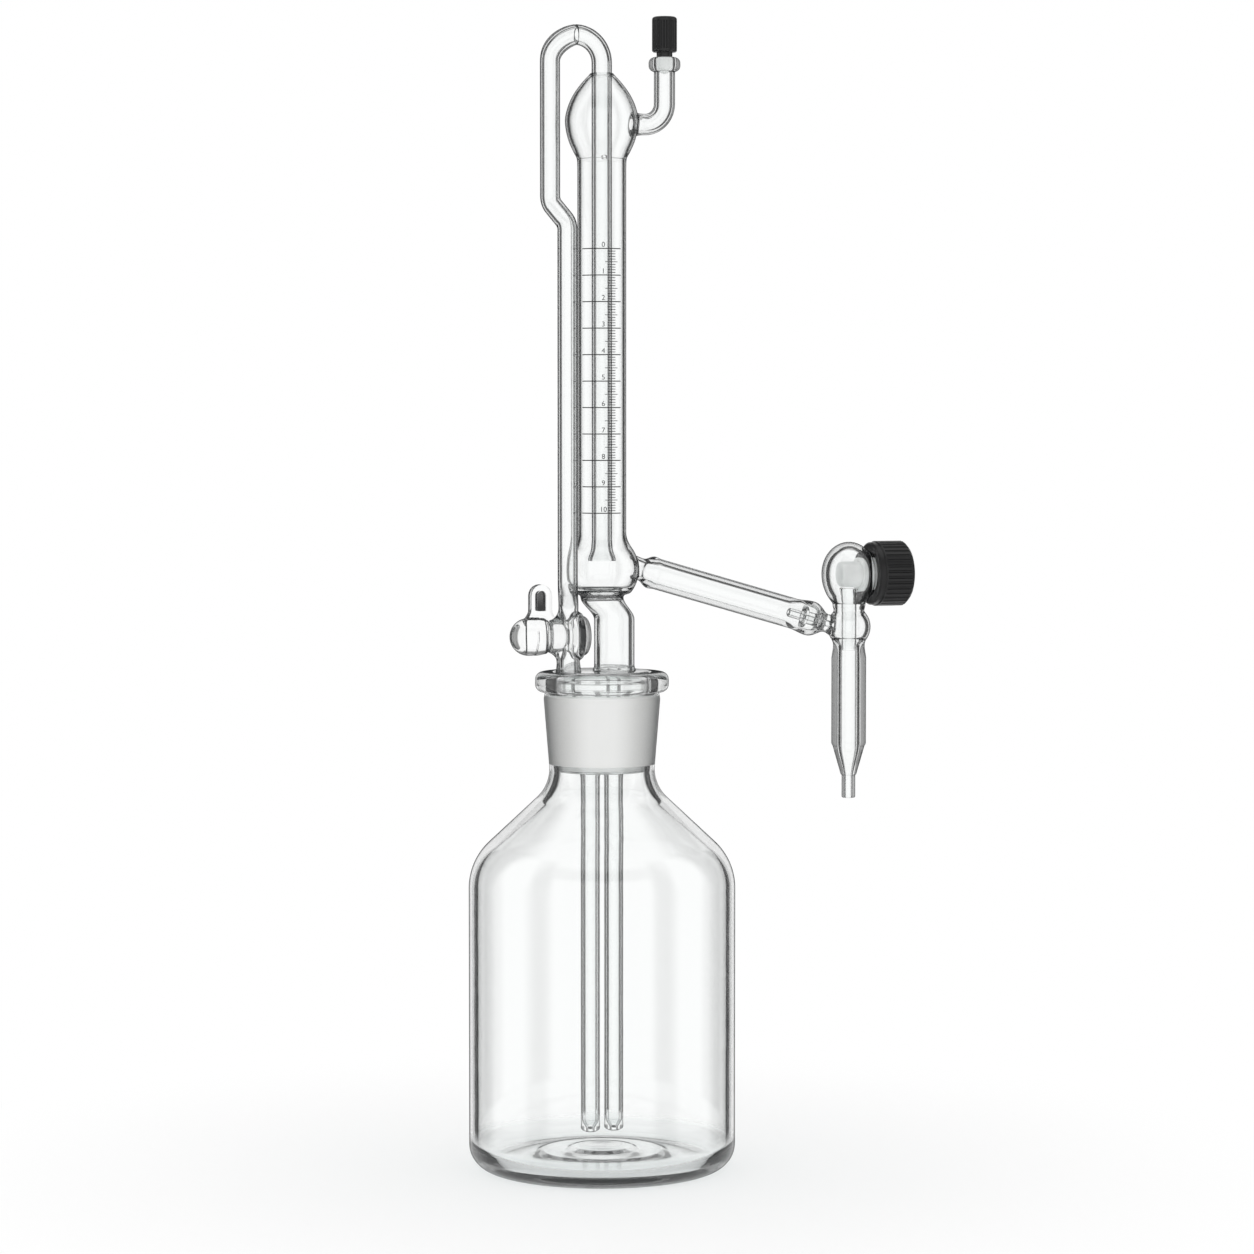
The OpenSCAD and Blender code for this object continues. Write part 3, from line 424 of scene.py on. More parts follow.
def glass(name, line=(0.55, 0.9), outline=0.85, trapped=0.2, ground=None):
    """Clear glass with painted shade: a dark diffuse mixed in at its outline and where light is trapped in
    it, standing in for the dark surroundings seen in real glass.

    line is where the painted outline shade starts and is full, from 0 facing the view to 1 at the edge;
    outline and trapped set its strength. ground is a dull band's low and high end and their softness, in
    metres; that band is frosted, with painted shade darkening it towards its outline.
    """
    made, wire = with_nodes(name)
    place = wire.place()
    bent = wire.node("ShaderNodeFresnel", values={"IOR": glass_ior})
    facing = wire.facing()
    # Painted shade mask from Fresnel and facing, strongest at the outline and where light is trapped
    edge = bent.ramp(0.2, 0.95) * trapped + facing.ramp(*line) * outline
    ripple = wire.noise(place, 90.0, 1.0)
    bump = wire.node("ShaderNodeBump", values={"Height": ripple, "Strength": 0.02, "Distance": 0.001})
    clear = {"Base Color": (0.985, 0.992, 0.99, 1), "Roughness": 0.0, "IOR": glass_ior,
             "Transmission Weight": 1.0, "Normal": bump}
    if ground:
        low, high, soft = ground
        height = place.axis("Z")
        dull = height.ramp(low, low + soft) * (1 - height.ramp(high - soft, high))
        grain = wire.noise(place, 2600.0, 2.0)
        clear["Roughness"] = dull * (grain * 0.2 + 0.4)
    body = wire.node("ShaderNodeBsdfPrincipled", values=clear)
    # Painted shade: the mask mixes a near-black diffuse into the clear glass
    look = wire.mix(edge, body, wire.diffuse((0.03, 0.031, 0.032)))
    if ground:
        # Painted shade on the frosted band: its tone falls from pale to near black towards the outline
        tones = [(0.03, (0.84, 0.84, 0.83)), (0.2, (0.6, 0.6, 0.59)), (0.7, (0.1, 0.1, 0.1))]
        frost_painted_shade = wire.node("ShaderNodeValToRGB", {"stops": tones}, {"Fac": facing})
        frost = wire.node("ShaderNodeBsdfPrincipled", values={"Base Color": frost_painted_shade, "Roughness": 0.75})
        look = wire.mix(dull * (grain * 0.2 + 0.62), look, frost)
    soft_light = wire.ray("Is Shadow Ray").either(wire.ray("Is Diffuse Ray"))
    output(wire, wire.mix(soft_light, look, wire.see_through((0.93, 0.94, 0.94))))
    return made


def smoke(name, low, high):
    """Painted shade: a dark sheet of glass, paler from a low to a high place, in metres."""
    made, wire = with_nodes(name)
    place = wire.place()
    cloud = wire.noise(place, 700.0, 2.0)
    # Near-black tone of the painted shade, mixed over see-through glass by the amount below
    dark = wire.node("ShaderNodeBsdfPrincipled",
                     values={"Base Color": (0.02, 0.02, 0.02, 1), "Roughness": 0.3})
    depth = 1 - place.axis("Z").ramp(low, high) * (cloud * 0.3 + 0.15)
    output(wire, wire.mix(depth, wire.see_through((0.97, 0.97, 0.97)), dark))
    return made


def grease(name):
    """Greased ground joint between plug and barrel, which glass on both sides makes all but invisible."""
    made, wire = with_nodes(name)
    place = wire.place()
    cloud = wire.noise(place, 500.0, 2.0)
    film = wire.facing().ramp(0.5, 1.0) * (cloud * 0.2 + 0.2)
    output(wire, wire.mix(film, wire.see_through((0.99, 0.99, 0.99)), wire.diffuse((0.2, 0.2, 0.2))))
    return made


def plastic(name, colour, rough, grain_size, depth, shine=0.5):
    """Moulded plastic with a fine grain in its gloss."""
    made, wire = with_nodes(name)
    place = wire.place()
    grain = wire.noise(place, grain_size, 3.0)
    cloud = wire.noise(place, 160.0, 2.0)
    tones = [(0.3, tuple(c * 0.8 for c in colour)), (0.7, colour)]
    tone = wire.node("ShaderNodeValToRGB", {"stops": tones}, {"Fac": cloud})
    bump = wire.node("ShaderNodeBump", values={"Height": grain, "Strength": depth, "Distance": 0.0002})
    output(wire, wire.node("ShaderNodeBsdfPrincipled", values={
        "Base Color": tone, "Roughness": grain * 0.15 + rough, "Normal": bump, "Specular IOR Level": shine}))
    return made


ground_soft = 0.0006
neck_ground = ((neck_z + 1.2) * MM, (flange_z - 0.8) * MM, ground_soft)
cone_ground = ((socket_z + 0.5) * MM, (flange_z - 0.4) * MM, ground_soft)
# line, outline and trapped set where and how strongly each glass gets its painted outline shade
bottle_glass = glass("bottle_glass", line=(0.83, 0.95), outline=0.9, ground=neck_ground)
cone_glass = glass("cone_glass", line=(0.9, 1.0), outline=0.4, ground=cone_ground)
tube_glass = glass("tube_glass", line=(0.52, 0.88))
thin_glass = glass("thin_glass", line=(0.42, 0.85))
film_glass = glass("film_glass", line=(0.8, 1.0), outline=0.3, trapped=0.05)
joint_grease = grease("joint_grease")
slot_painted_shade = smoke("slot_painted_shade", (handle_low.z + 1.5) * MM, (handle_high.z - 3.5) * MM)
white_polymer = plastic("white_polymer", (0.93, 0.93, 0.92), rough=0.4, grain_size=900.0, depth=0.1)
black_polymer = plastic("black_polymer", (0.010, 0.010, 0.0105), rough=0.3, grain_size=1500.0, depth=0.12,
                        shine=0.45)
dark_seal = plastic("dark_seal", (0.03, 0.03, 0.032), rough=0.45, grain_size=1200.0, depth=0.1)
enamel = plastic("scale_enamel", (0.02, 0.02, 0.022), rough=0.35, grain_size=2000.0, depth=0.1)


# Reservoir bottle

shoulder_z, shoulder_r, shoulder_turn = 91, 20, 47
throat_r, neck_wall = 13, 3.0
base_corner, floor_t, kick = 8, 4.5, 1.3


def joint_r(z):
    return joint_rim_r - joint_slope * (rim_z - z)


def bottle():
    """Outline up the outside from under the base, over the flange, and down inside to the stepped floor."""
    neck_r, neck_top_r = joint_r(neck_z) + neck_wall, joint_r(flange_z) + neck_wall + 0.55
    foot = bottle_r - base_corner
    shoulder = (bottle_r - shoulder_r, shoulder_z)
    inner_r, inner_corner = bottle_r - bottle_wall, base_corner - bottle_wall
    lip, rim_round = 2.4, 0.7
    lip_r = flange_r - lip
    throat_in = throat_r + neck_wall
    outline = flow((0, kick), (1, 0), (foot - 2, 0.15), (1, -0.12), 16)
    outline += arc((foot, base_corner), base_corner, -88, 0, 16)
    outline += [(bottle_r, base_corner + 1), (bottle_r, shoulder_z - 1)]
    outline += arc(shoulder, shoulder_r, 0, shoulder_turn, 16)
    outline += arc((neck_r + throat_r, neck_z), throat_r, 180 + shoulder_turn, 180, 16)
    outline += flow((neck_top_r, flange_z - 2.5), (0.05, 1), (lip_r, flange_z), (1, 0.1), 8, 0.5)
    outline += arc((lip_r, flange_z + lip), lip, -80, 0, 8)
    outline += arc((lip_r, rim_z - lip), lip, 0, 90, 8) + [(joint_rim_r + 1.1, rim_z)]
    outline += arc((joint_rim_r + rim_round, rim_z - rim_round), rim_round, 90, 180, 5)
    outline += [(joint_r(z), z) for z in (rim_z - 4, flange_z, flange_z - 8, flange_z - 16)]
    outline += arc((joint_r(socket_z) + throat_in, socket_z), throat_in, 180, 180 + shoulder_turn, 16)
    outline += arc(shoulder, shoulder_r - bottle_wall, shoulder_turn, 0, 16)
    outline += [(inner_r, shoulder_z - 1), (inner_r, base_corner + 3)]
    outline += arc((foot, floor_t + inner_corner), inner_corner, 0, -86, 16)
    outline += flow((foot - 4, floor_t + 0.1), (-1, 0.05), (21, floor_t + 0.9), (-1, 0.14), 8)
    outline += flow((20, floor_t + 1.5), (-1, 0.02), (11, floor_t + 1.9), (-1, 0.08), 8)
    outline += flow((10, floor_t + 2.6), (-1, 0.02), (0, floor_t + 2.2), (-1, 0), 8)
    return revolve(outline, 144)


piece(bottle(), "reservoir_bottle_glass", "reservoir", bottle_glass, ["reservoir_bottle"])


# Ground cone, its inner tubes and the dip tubes


def hollow_cone():
    """Ground cone with a closed floor and top, a hair smaller than its socket."""
    gap, wall, top_t, floor, edge, corner = 0.08, 1.4, 3.0, 2.2, 0.5, 1

    def skin(z, inset=0):
        return joint_r(z) - gap - inset

    levels = [socket_z + edge] + [socket_z + step * 4 for step in range(1, 8)]
    outer = [(0, socket_z)] + arc((skin(socket_z) - edge, socket_z + edge), edge, -90, 0, 4)
    outer += [(skin(z), z) for z in levels]
    outer += arc((skin(cone_top_z) - edge, cone_top_z - edge), edge, 0, 90, 4) + [(0, cone_top_z)]
    low, high = socket_z + floor, cone_top_z - top_t
    cavity = [(0, low)] + arc((skin(low, wall) - corner, low + corner), corner, -90, 0, 4)
    cavity += arc((skin(high, wall) - corner, high - corner), corner, 0, 90, 4) + [(0, high)]
    return combine(revolve(outer, 96), revolve(cavity, 96), "DIFFERENCE")


piece(hollow_cone(), "ground_cone_glass", "head", cone_glass, ["ground_cone"])


def dip_tube(x):
    outer_r, bore_r, flare = 3.05, 1.8, 3.8
    hole_r, lip = 0.9, 0.6
    outline = arc((hole_r + lip, dip_end_z + lip), lip, 180, 300, 6)
    outline += flow((hole_r + 1.2, dip_end_z + 0.25), (1, 0.35), (outer_r, dip_end_z + 3), (0, 1), 8, 0.5)
    outline += [(outer_r, dip_end_z + 8), (outer_r, socket_z - 10)]
    outline += flow((outer_r, socket_z - 4.5), (0, 1), (flare, socket_z + 0.4), (0.5, 1), 8)
    outline += [(bore_r + 0.3, socket_z + 0.4), (bore_r, socket_z - 2), (bore_r, dip_end_z + 8)]
    outline += flow((bore_r, dip_end_z + 4), (0, -1), (hole_r, dip_end_z + 1.2), (-0.3, -1), 6)
    return along(revolve(outline, 48, loop=True), (x, 0, 0))


for side, node in ((-1, "supply_dip_tube"), (1, "return_dip_tube")):
    piece(dip_tube(side * dip_x), node + "_glass", "head", thin_glass, [node])

link_low_z, link_high_z = socket_z + 2.1, cone_top_z - 2.9
link_slant_low_z, link_slant_high_z, link_bend = link_high_z - 14, link_high_z - 4, 6
link_paths = {
    "riser_link": rounded([(-dip_x, 0, link_low_z), (-dip_x, 0, link_slant_low_z),
                           (cock_x, 0, link_slant_high_z), (cock_x, 0, link_high_z)], link_bend),
    "return_link": [Vector((dip_x, 0, link_low_z)), Vector((dip_x, 0, link_high_z))],
}


def link(path):
    outer_r, bore_r, sides = 2.3, 1.4, 32
    past = Vector((0, 0, 1))
    bore = [path[0] - past] + path[1:-1] + [path[-1] + past]
    return combine(rod(path, outer_r, sides), rod(bore, bore_r, sides), "DIFFERENCE")


for node, path in link_paths.items():
    piece(link(path), node + "_glass", "head", thin_glass, [node])


# Burette: support, bulbs and graduated tube in one run of glass, with arm, vent and valve

step_low_z, step_high_z, step_neck_r = lower_neck_z - 4.2, lower_neck_z + 3.1, 6.9
arm_way = Vector((math.cos(arm_slope), 0, -math.sin(arm_slope)))


def lean_support(bm):
    """Steps the support aside under the lower bulb."""
    for vert in bm.verts:
        if vert.co.z < step_high_z:
            vert.co.x += support_x * (1 - ease((vert.co.z - step_low_z) / (step_high_z - step_low_z)))
    return bm


def bulb_point(radius, degrees):
    return on_circle((0, lower_z), radius, degrees)


def upper_outline(inset, neck):
    """Teardrop bulb from the tube's wall up to the seal round the fill tube."""
    measured = [(8.0, 5.3), (9.05, 7.4), (10.25, 10.0), (11.1, 12.6), (11.6, 15.2), (11.75, 17.8),
                (11.25, 20.5), (10.35, 23.1), (9.1, 25.6), (7.6, 27.8), (6.0, 29.8), (4.7, 31.2)]
    points = [(r - inset, tube_top_z + z) for r, z in measured]
    if inset:
        ledge = [(neck, tube_top_z + 4.9), (neck, tube_top_z + 5.2), (neck + 0.3, tube_top_z + 5.3)]
        points = ledge + through([(neck + 0.35, tube_top_z + 5.4)] + points[1:])
    else:
        points = through([(neck, tube_top_z + 2.2)] + points)
    return points + [(fill_r + 0.35, tube_top_z + 32.4 - inset)]


def burette_outer():
    turn, low_turn, foot_spread, sunk = 35, 36, 0.5, 0.4
    foot = support_r + foot_spread
    outline = [(0, cone_top_z - sunk), (foot, cone_top_z - sunk)]
    outline += flow((foot, cone_top_z), (-0.2, 1), (support_r, cone_top_z + 1.6), (0, 1), 6)
    outline += [(support_r, z) for z in (cone_top_z + 6, cone_top_z + 10)]
    outline += flow((support_r, step_low_z), (0, 1), (step_neck_r, step_high_z - 0.6), (0, 1), 14)
    bulb_low = bulb_point(lower_r, -low_turn)
    outline += flow((step_neck_r, step_high_z - 0.4), (0, 1), bulb_low, (0.59, 0.81), 10, 0.5)
    outline += arc((0, lower_z), lower_r, -low_turn, turn, 28)[1:]
    outline += flow(bulb_point(lower_r, turn), (-0.57, 0.82), (tube_r, tube_z + 2), (0, 1), 10)[1:]
    outline += [(tube_r, tube_z + 20), (tube_r, tube_top_z - 20)]
    outline += upper_outline(0, tube_r)
    outline += [(0, outline[-1][1])]
    return lean_support(revolve(outline, 96))


def burette_cavity():
    turn, low_turn = 38, 26
    inner_r, bore = lower_r - lower_wall, tube_r - tube_wall
    floor_z = lower_neck_z + 5.4
    outline = flow((0, floor_z), (1, 0), bulb_point(inner_r, -low_turn), (0.44, 0.9), 16)
    outline += arc((0, lower_z), inner_r, -low_turn, turn, 24)[1:]
    outline += flow(bulb_point(inner_r, turn), (-0.62, 0.79), (bore, tube_z + 2), (0, 1), 10)[1:]
    outline += [(bore, tube_z + 20), (bore, tube_top_z - 20)]
    outline += upper_outline(upper_wall, bore)
    seal_r, past_z = fill_r + 0.06, upper_top_z + 3
    outline += [(seal_r, outline[-1][1] + 0.1), (seal_r, past_z), (0, past_z)]
    return revolve(outline, 96)


def support_cavity():
    bore, neck_bore = support_r - support_wall, step_neck_r - support_wall
    outline = [(0, cone_top_z - 2), (bore, cone_top_z - 2), (bore, cone_top_z + 8)]
    outline += flow((bore, step_low_z), (0, 1), (neck_bore, step_high_z - 1.4), (0, 1), 12)
    outline += flow((neck_bore, step_high_z - 1.2), (0, 1), (0, step_high_z + 0.6), (-1, 0), 10)
    return lean_support(revolve(outline, 96))


arm_root = -9  # end of the arm inside the lower bulb, along the arm as all its places are


def arm_place(s):
    return arm_start + arm_way * s


def arm_outer():
    """Arm from a waist at the bulb, through a wider end, to the neck that runs into the valve's ball."""
    waist, bead_r, end_r, neck_r = 3.6, arm_r + 0.2, 5.7, 3.3
    bead, swell, widest, past = 3.4, 55, 61.2, arm_len + 7
    outline = [(0, arm_root), (waist + 0.4, arm_root)]
    outline += flow((waist + 0.3, -3), (-0.1, 1), (waist, 0), (0, 1), 4)
    outline += flow((waist, 0), (0, 1), (bead_r, bead), (0.3, 1), 8)[1:]
    outline += flow((bead_r, bead), (0.2, 1), (arm_r, 6), (0, 1), 4)[1:]
    outline += [(arm_r, 12), (arm_r, 30), (arm_r, 48)]
    outline += flow((arm_r, swell), (0, 1), (end_r, widest), (0, 1), 12)
    outline += flow((end_r, widest), (0, 1), (neck_r, arm_len), (-0.6, 1), 10)[1:]
    outline += flow((neck_r, arm_len), (-0.4, 1), (neck_r + 0.25, arm_len + 3.2), (0.7, 1), 6)[1:]
    outline += [(neck_r + 0.3, past), (0, past)]
    return along(revolve(outline, 64), arm_start, arm_way)


def arm_cavity():
    bore, waist, end_bore, hole_r = arm_r - arm_wall, 2.4, 4.3, 0.7
    swell, full, shoulder, floor, past = 52, 57.6, 60.6, 64.2, arm_len + 6
    outline = [(0, arm_root), (waist, arm_root), (waist, 0)]
    outline += flow((waist, 0.2), (0, 1), (bore, 4.4), (0, 1), 8)
    outline += [(bore, 20), (bore, 40), (bore, 50)]
    outline += flow((bore, swell), (0, 1), (end_bore, full), (0, 1), 8)
    outline += flow((end_bore, shoulder), (0, 1), (1.3, floor), (-1, 0.2), 8)[1:]
    outline += [(hole_r, floor + 0.1), (hole_r, past), (0, past)]
    return along(revolve(outline, 64), arm_start, arm_way)


vent_root_x, vent_bend, vent_wall, vent_seat_r = 11, 6.8, 1.5, 2.65
seat_z = collar_z + 0.8


def vent_path(start, top):
    return rounded([(start, 0, vent_z), (vent_x, 0, vent_z), (vent_x, 0, top)], vent_bend, 14)


def vent_collar():
    bead, root_r, root_z = 1.9, vent_r - 0.3, collar_z - 0.7
    round_r = collar_r - bead
    outline = [(0, root_z), (root_r, root_z)]
    outline += flow((root_r, collar_z - 0.6), (0.3, 1), (round_r, collar_z + 0.1), (1, -0.1), 5)
    outline += arc((round_r, collar_z + bead), bead, -80, 0, 6)
    outline += arc((round_r, collar_top_z - bead), bead, 0, 90, 8) + [(0, collar_top_z)]
    return along(revolve(outline, 64), (vent_x, 0, 0))


chamber_half, chamber_r, chamber_drop, chamber_wall = 8.8, 10.5, 12.2, 2.4
waist_r, waist_rise, widening = 5.4, 7, 8
tip_top_z = cone_z - 10


def chamber(inset):
    """Outline of the valve's chamber, longer below its middle than above."""
    points = []
    for angle in [math.radians(degrees) for degrees in range(-48, 90, 6)] + [math.pi / 2]:
        height = (chamber_drop if angle < 0 else chamber_r) - inset
        points.append(((chamber_half - inset) * math.cos(angle), chamber_z + height * math.sin(angle)))
    return points


def valve_shape(outline):
    """Outline turned round the outlet, with the chamber wider across the valve than along it."""
    bm = revolve(outline, 80)
    for vert in bm.verts:
        vert.co.y *= 1 + (chamber_r / chamber_half - 1) * ease((vert.co.z - ball_z - waist_rise) / widening)
    return along(bm, (valve.x, 0, 0))


def valve_outer():
    """Delivery tip, tube, ball, waist and chamber in one run."""
    tip_r, cone_r, tip_round = 2.25, 2.65, 0.5
    corner_r = outlet_r - 0.5
    outline = [(0, tip_end_z)] + arc((tip_r - tip_round, tip_end_z + tip_round), tip_round, -90, 0, 5)
    outline += [(tip_r, tip_top_z - 0.3)]
    outline += flow((tip_r, tip_top_z - 0.2), (0.1, 1), (cone_r, tip_top_z + 0.3), (0.3, 1), 4)
    outline += flow((cone_r, tip_top_z + 0.4), (0.27, 1), (corner_r, cone_z - 0.6), (0.27, 1), 10)
    outline += flow((corner_r, cone_z - 0.5), (0.6, 0.8), (outlet_r, cone_z + 0.8), (0, 1), 6)
    outline += [(outlet_r, cone_z + 8), (outlet_r, outlet_z - 8)]
    outline += flow((outlet_r, outlet_z - 2.4), (-0.1, 1), (5.9, ball_z - 3.9), (0.6, 0.8), 8)
    outline += arc((0, ball_z), ball_r, -33, 40, 16)
    outline += flow(on_circle((0, ball_z), ball_r, 42), (-0.67, 0.74), (waist_r, ball_z + 7.3), (0, 1), 8)
    belly = chamber(0)
    outline += flow((waist_r, ball_z + 7.5), (0, 1), belly[0], (0.55, 0.83), 5) + belly[1:]
    return valve_shape(outline)


def valve_cavity():
    wall, bore, tip_bore = 1.4, 2.6, 1.0
    waist_bore = waist_r - wall
    outline = [(0, tip_end_z - 1), (tip_bore, tip_end_z - 1), (tip_bore, tip_top_z)]
    outline += flow((tip_bore, tip_top_z + 0.2), (0.1, 1), (bore, cone_z - 0.5), (0.1, 1), 8)
    outline += [(bore, cone_z + 10), (bore, outlet_z - 6)]
    outline += flow((bore, outlet_z - 1), (0, 1), (4.6, ball_z - 3.3), (0.7, 0.7), 6)
    outline += arc((0, ball_z), ball_r - wall, -35, 44, 14)
    outline += flow((waist_bore, ball_z + 5.6), (0, 1), (waist_bore, ball_z + 8), (0, 1), 3)
    return valve_shape(outline + chamber(chamber_wall))


def valve_neck(radius, reach):
    corner = 0.6
    outline = [(0, 0), (radius, 0), (radius, reach - corner), (radius - corner, reach), (0, reach)]
    return along(revolve(outline, 64), (valve.x, 0, chamber_z), (1, 0, 0))


def burette_glass():
    """All the run of glass at once: its outside, joined and melted together, less its hollow."""
    neck_r, neck_bore, neck_reach = 7.0, 5.35, neck_end_x - valve.x
    body = soften(combine(burette_outer(), arm_outer(), "UNION"), arm_place(-2), reach=7, width=1.8)
    body = combine(body, rod(vent_path(6, collar_z + 0.5), vent_r), "UNION")
    body = soften(body, (vent_root_x, 0, vent_z), reach=6, width=2.4, rounds=14)
    body = combine(body, vent_collar(), "UNION")
    body = soften(combine(body, valve_outer(), "UNION"), arm_place(arm_len + 4), reach=5, width=1.0)
    body = combine(body, valve_neck(neck_r, neck_reach), "UNION")
    hollow = soften(combine(burette_cavity(), arm_cavity(), "UNION"), arm_place(-3), reach=6, width=1.0)
    vent_bore = rod(vent_path(5, collar_top_z + 2), vent_r - vent_wall)
    seat = along(cylinder(vent_seat_r, 0, 10, 48), (vent_x, 0, seat_z))
    cap_bore = valve_neck(neck_bore, neck_reach + 1)
    for space in (vent_bore, seat, valve_cavity(), cap_bore, support_cavity()):
        hollow = combine(hollow, space, "UNION")
    return combine(body, hollow, "DIFFERENCE")


piece(burette_glass(), "burette_glass", "head", tube_glass,
      ["support_tube", "support_offset", "lower_bulb", "burette_tube", "upper_bulb", "side_arm", "valve_body",
       "delivery_tube", "delivery_tip", "vent_arm", "vent_collar"])


# Fill tube with its flared mouth, and the riser with loop, jogs and stopcock barrel


def fill_glass():
    """Fill tube from the loop's seam down to its flared mouth, with the zero hole in the upper bulb."""
    zero_hole_r, zero_hole_z, past = 0.8, tube_top_z + 6, 0.5
    mouth = [(12, 0), (6, 0.02), (4, 0.15), (2.6, 0.5), (1.4, 0.95), (0.5, 1.2), (0, 1.1)]
    turn = [Vector((x, 0, z)) for x, z in arc((-loop_r, loop_z), loop_r, 90, 0, 24)]
    heights = [loop_z - 3, mouth_z + 60] + [mouth_z + rise for rise, _ in mouth]
    path = turn + [Vector((0, 0, z)) for z in heights]
    flare = [0] * (len(path) - len(mouth)) + [spread for _, spread in mouth]
    outer = [fill_r + spread for spread in flare]
    bore = [fill_r - riser_wall + spread * 1.1 for spread in flare]
    inner_path = [path[0] - Vector((past, 0, 0))] + path[1:-1] + [path[-1] - Vector((0, 0, past))]
    shell = combine(rod(path, outer), rod(inner_path, bore), "DIFFERENCE")
    zero_hole = along(cylinder(zero_hole_r, 0, 6, 24), (0, 0, zero_hole_z), (0, -1, 0))
    return combine(shell, zero_hole, "DIFFERENCE")


piece(fill_glass(), "fill_tube_glass", "head", thin_glass, ["fill_tube", "fill_bend"])


loop_steps = 20
barrel_mid_r, fillet_r = 5.0, 4.0
bore_mouth_r, bore_end_r = 3.0, 2.5
greased_x = barrel_x + 0.05


def riser_path(low, past_seam):
    """Middle line of the riser: foot, barrel, jog, run, jog, and the half loop to the seam."""
    bend, half_turn, high_jog_growth = 4.6, math.radians(25), 1.06
    seam_gap, leaving, arriving = Vector((0.3, 0, 0.02)), Vector((0, 0, 4.4)), Vector((4.2, 0, 1.0))
    corner = bend * math.tan(half_turn)
    top = Vector((-2 * loop_r, 0, loop_z))
    seam = Vector((-loop_r, 0, loop_z + loop_r))
    high_top_z = high_jog_z + (jog_top_z - stub_z) * high_jog_growth
    fillet_steps = [5.0, 5.2, 5.5, 5.9, 6.4, 6.9, 7.4]
    crossing = [-step for step in reversed(fillet_steps)] + fillet_steps
    path = [Vector((cock_x, 0, low))] + [Vector((cock_x, 0, cock_z + step)) for step in [-8.4] + crossing]
    path += rounded([(cock_x, 0, cock_z + 7.6), (cock_x, 0, stub_z + corner),
                     (run.x, run.y, jog_top_z - corner), (run.x, run.y, high_jog_z + corner),
                     (top.x, 0, high_top_z - corner), tuple(top)], bend)
    arrival = seam - seam_gap
    path += interpolate_bezier(top, top + leaving, arrival - arriving, arrival, loop_steps)[1:]
    path.append(seam)
    return path + ([seam + Vector((0.5, 0, 0))] if past_seam else [])


def barrel_outer():
    """Stopcock barrel, wider towards the rim of its rounded end disc."""
    length, end = rim_x - barrel_x, disc_x - barrel_x
    mouth_r = 5.2
    outline = [(0, 0), (mouth_r - 0.3, 0)]
    outline += flow((mouth_r, 0.3), (0.05, 1), (rim_r - 0.2, length - 1.2), (0.7, 1), 14, 0.42)
    outline += arc((rim_r - 0.7, length - 0.6), 0.7, 20, 90, 5)
    outline += flow((rim_r - 1.1, length + 0.15), (-0.2, 1), (0, end), (-1, 0), 12, 0.5)
    return along(revolve(outline, 76), (barrel_x, 0, cock_z), (1, 0, 0))


def flared(bm):
    """Spreads the riser to the plug's side where it runs into the barrel, above and below."""
    for vert in bm.verts:
        rise = abs(vert.co.z - cock_z) - barrel_mid_r
        if rise < fillet_r and vert.co.x < cock_x:
            lift = fillet_r - max(rise, 0.25)
            spread = fillet_r - math.sqrt(fillet_r ** 2 - lift ** 2)
            vert.co.x += spread * (vert.co.x - cock_x) / riser_r
    return bm


def riser_glass():
    foot_spread, loop_swell, bore_floor = 0.6, 0.09, 1.2
    path = riser_path(cone_top_z - 0.4, False)
    widths = [riser_r + (foot_r - riser_r) * (1 - ease((p.z - cock_z) / 6)) for p in path]
    widths[0] += foot_spread
    for step in range(loop_steps):
        widths[step - loop_steps] *= 1 + loop_swell * math.sin(math.pi * step / (loop_steps - 1))
    body = combine(flared(rod(path, widths)), barrel_outer(), "UNION")
    body = soften(body, (cock_x, 0, cock_z), reach=9.5, width=1.2, rounds=8)
    bore = rod(riser_path(cone_top_z - 2, True), riser_r - riser_wall)
    depth = rim_x - barrel_x - bore_floor
    plug_bore = revolve([(0, -1), (bore_mouth_r, -1), (bore_end_r, depth), (0, depth)], 48)
    bore = combine(bore, along(plug_bore, (barrel_x, 0, cock_z), (1, 0, 0)), "UNION")
    return combine(body, bore, "DIFFERENCE")


piece(riser_glass(), "riser_glass", "head", thin_glass,
      ["riser_foot", "stopcock_barrel", "barrel_end_disc", "riser_jog", "riser_tube", "riser_upper",
       "riser_bend"],
      greased=lambda p: greased_x < p.x < rim_x and math.hypot(p.y, p.z - cock_z) < bore_mouth_r)


# Stopcock plug with bullet head and loop handle

handle_x = (handle_low.x + handle_high.x) / 2
slot_half_w, slot_low_z, slot_high_z = 1.5, handle_low.z + 1.8, handle_high.z - 2


def mirrored(side):
    return [(-x, z) for x, z in reversed(side)]


def stadium(half_w, low, high):
    """Upright outline in X and Z with a round top."""
    side = [(half_w, low + (high - half_w - low) * step / 8) for step in range(1, 8)]
    top = arc((0, high - half_w), half_w, 0, 180, 10)
    return [(-half_w, low), (half_w, low)] + side + top + mirrored(side)


def footed(half_w, low, foot_z, high):
    """The same with a foot that spreads onto the head, and as many points."""
    foot_half_w = half_w + 1.3
    spread = flow((foot_half_w, foot_z - 0.6), (-0.6, 0.8), (half_w, foot_z + 2.6), (0, 1), 6, 0.45)
    top = arc((0, high - half_w), half_w, 0, 180, 10)
    return [(-foot_half_w, low), (foot_half_w, low)] + spread + top + mirrored(spread)


def thickened(bm, depth):
    """Slab from flat upright faces, drawn out along Y."""
    grown = bmesh.ops.extrude_face_region(bm, geom=bm.faces[:])["geom"]
    bmesh.ops.translate(bm, vec=(0, depth, 0), verts=[v for v in grown if isinstance(v, bmesh.types.BMVert)])
    bmesh.ops.recalc_face_normals(bm, faces=bm.faces)
    return bm


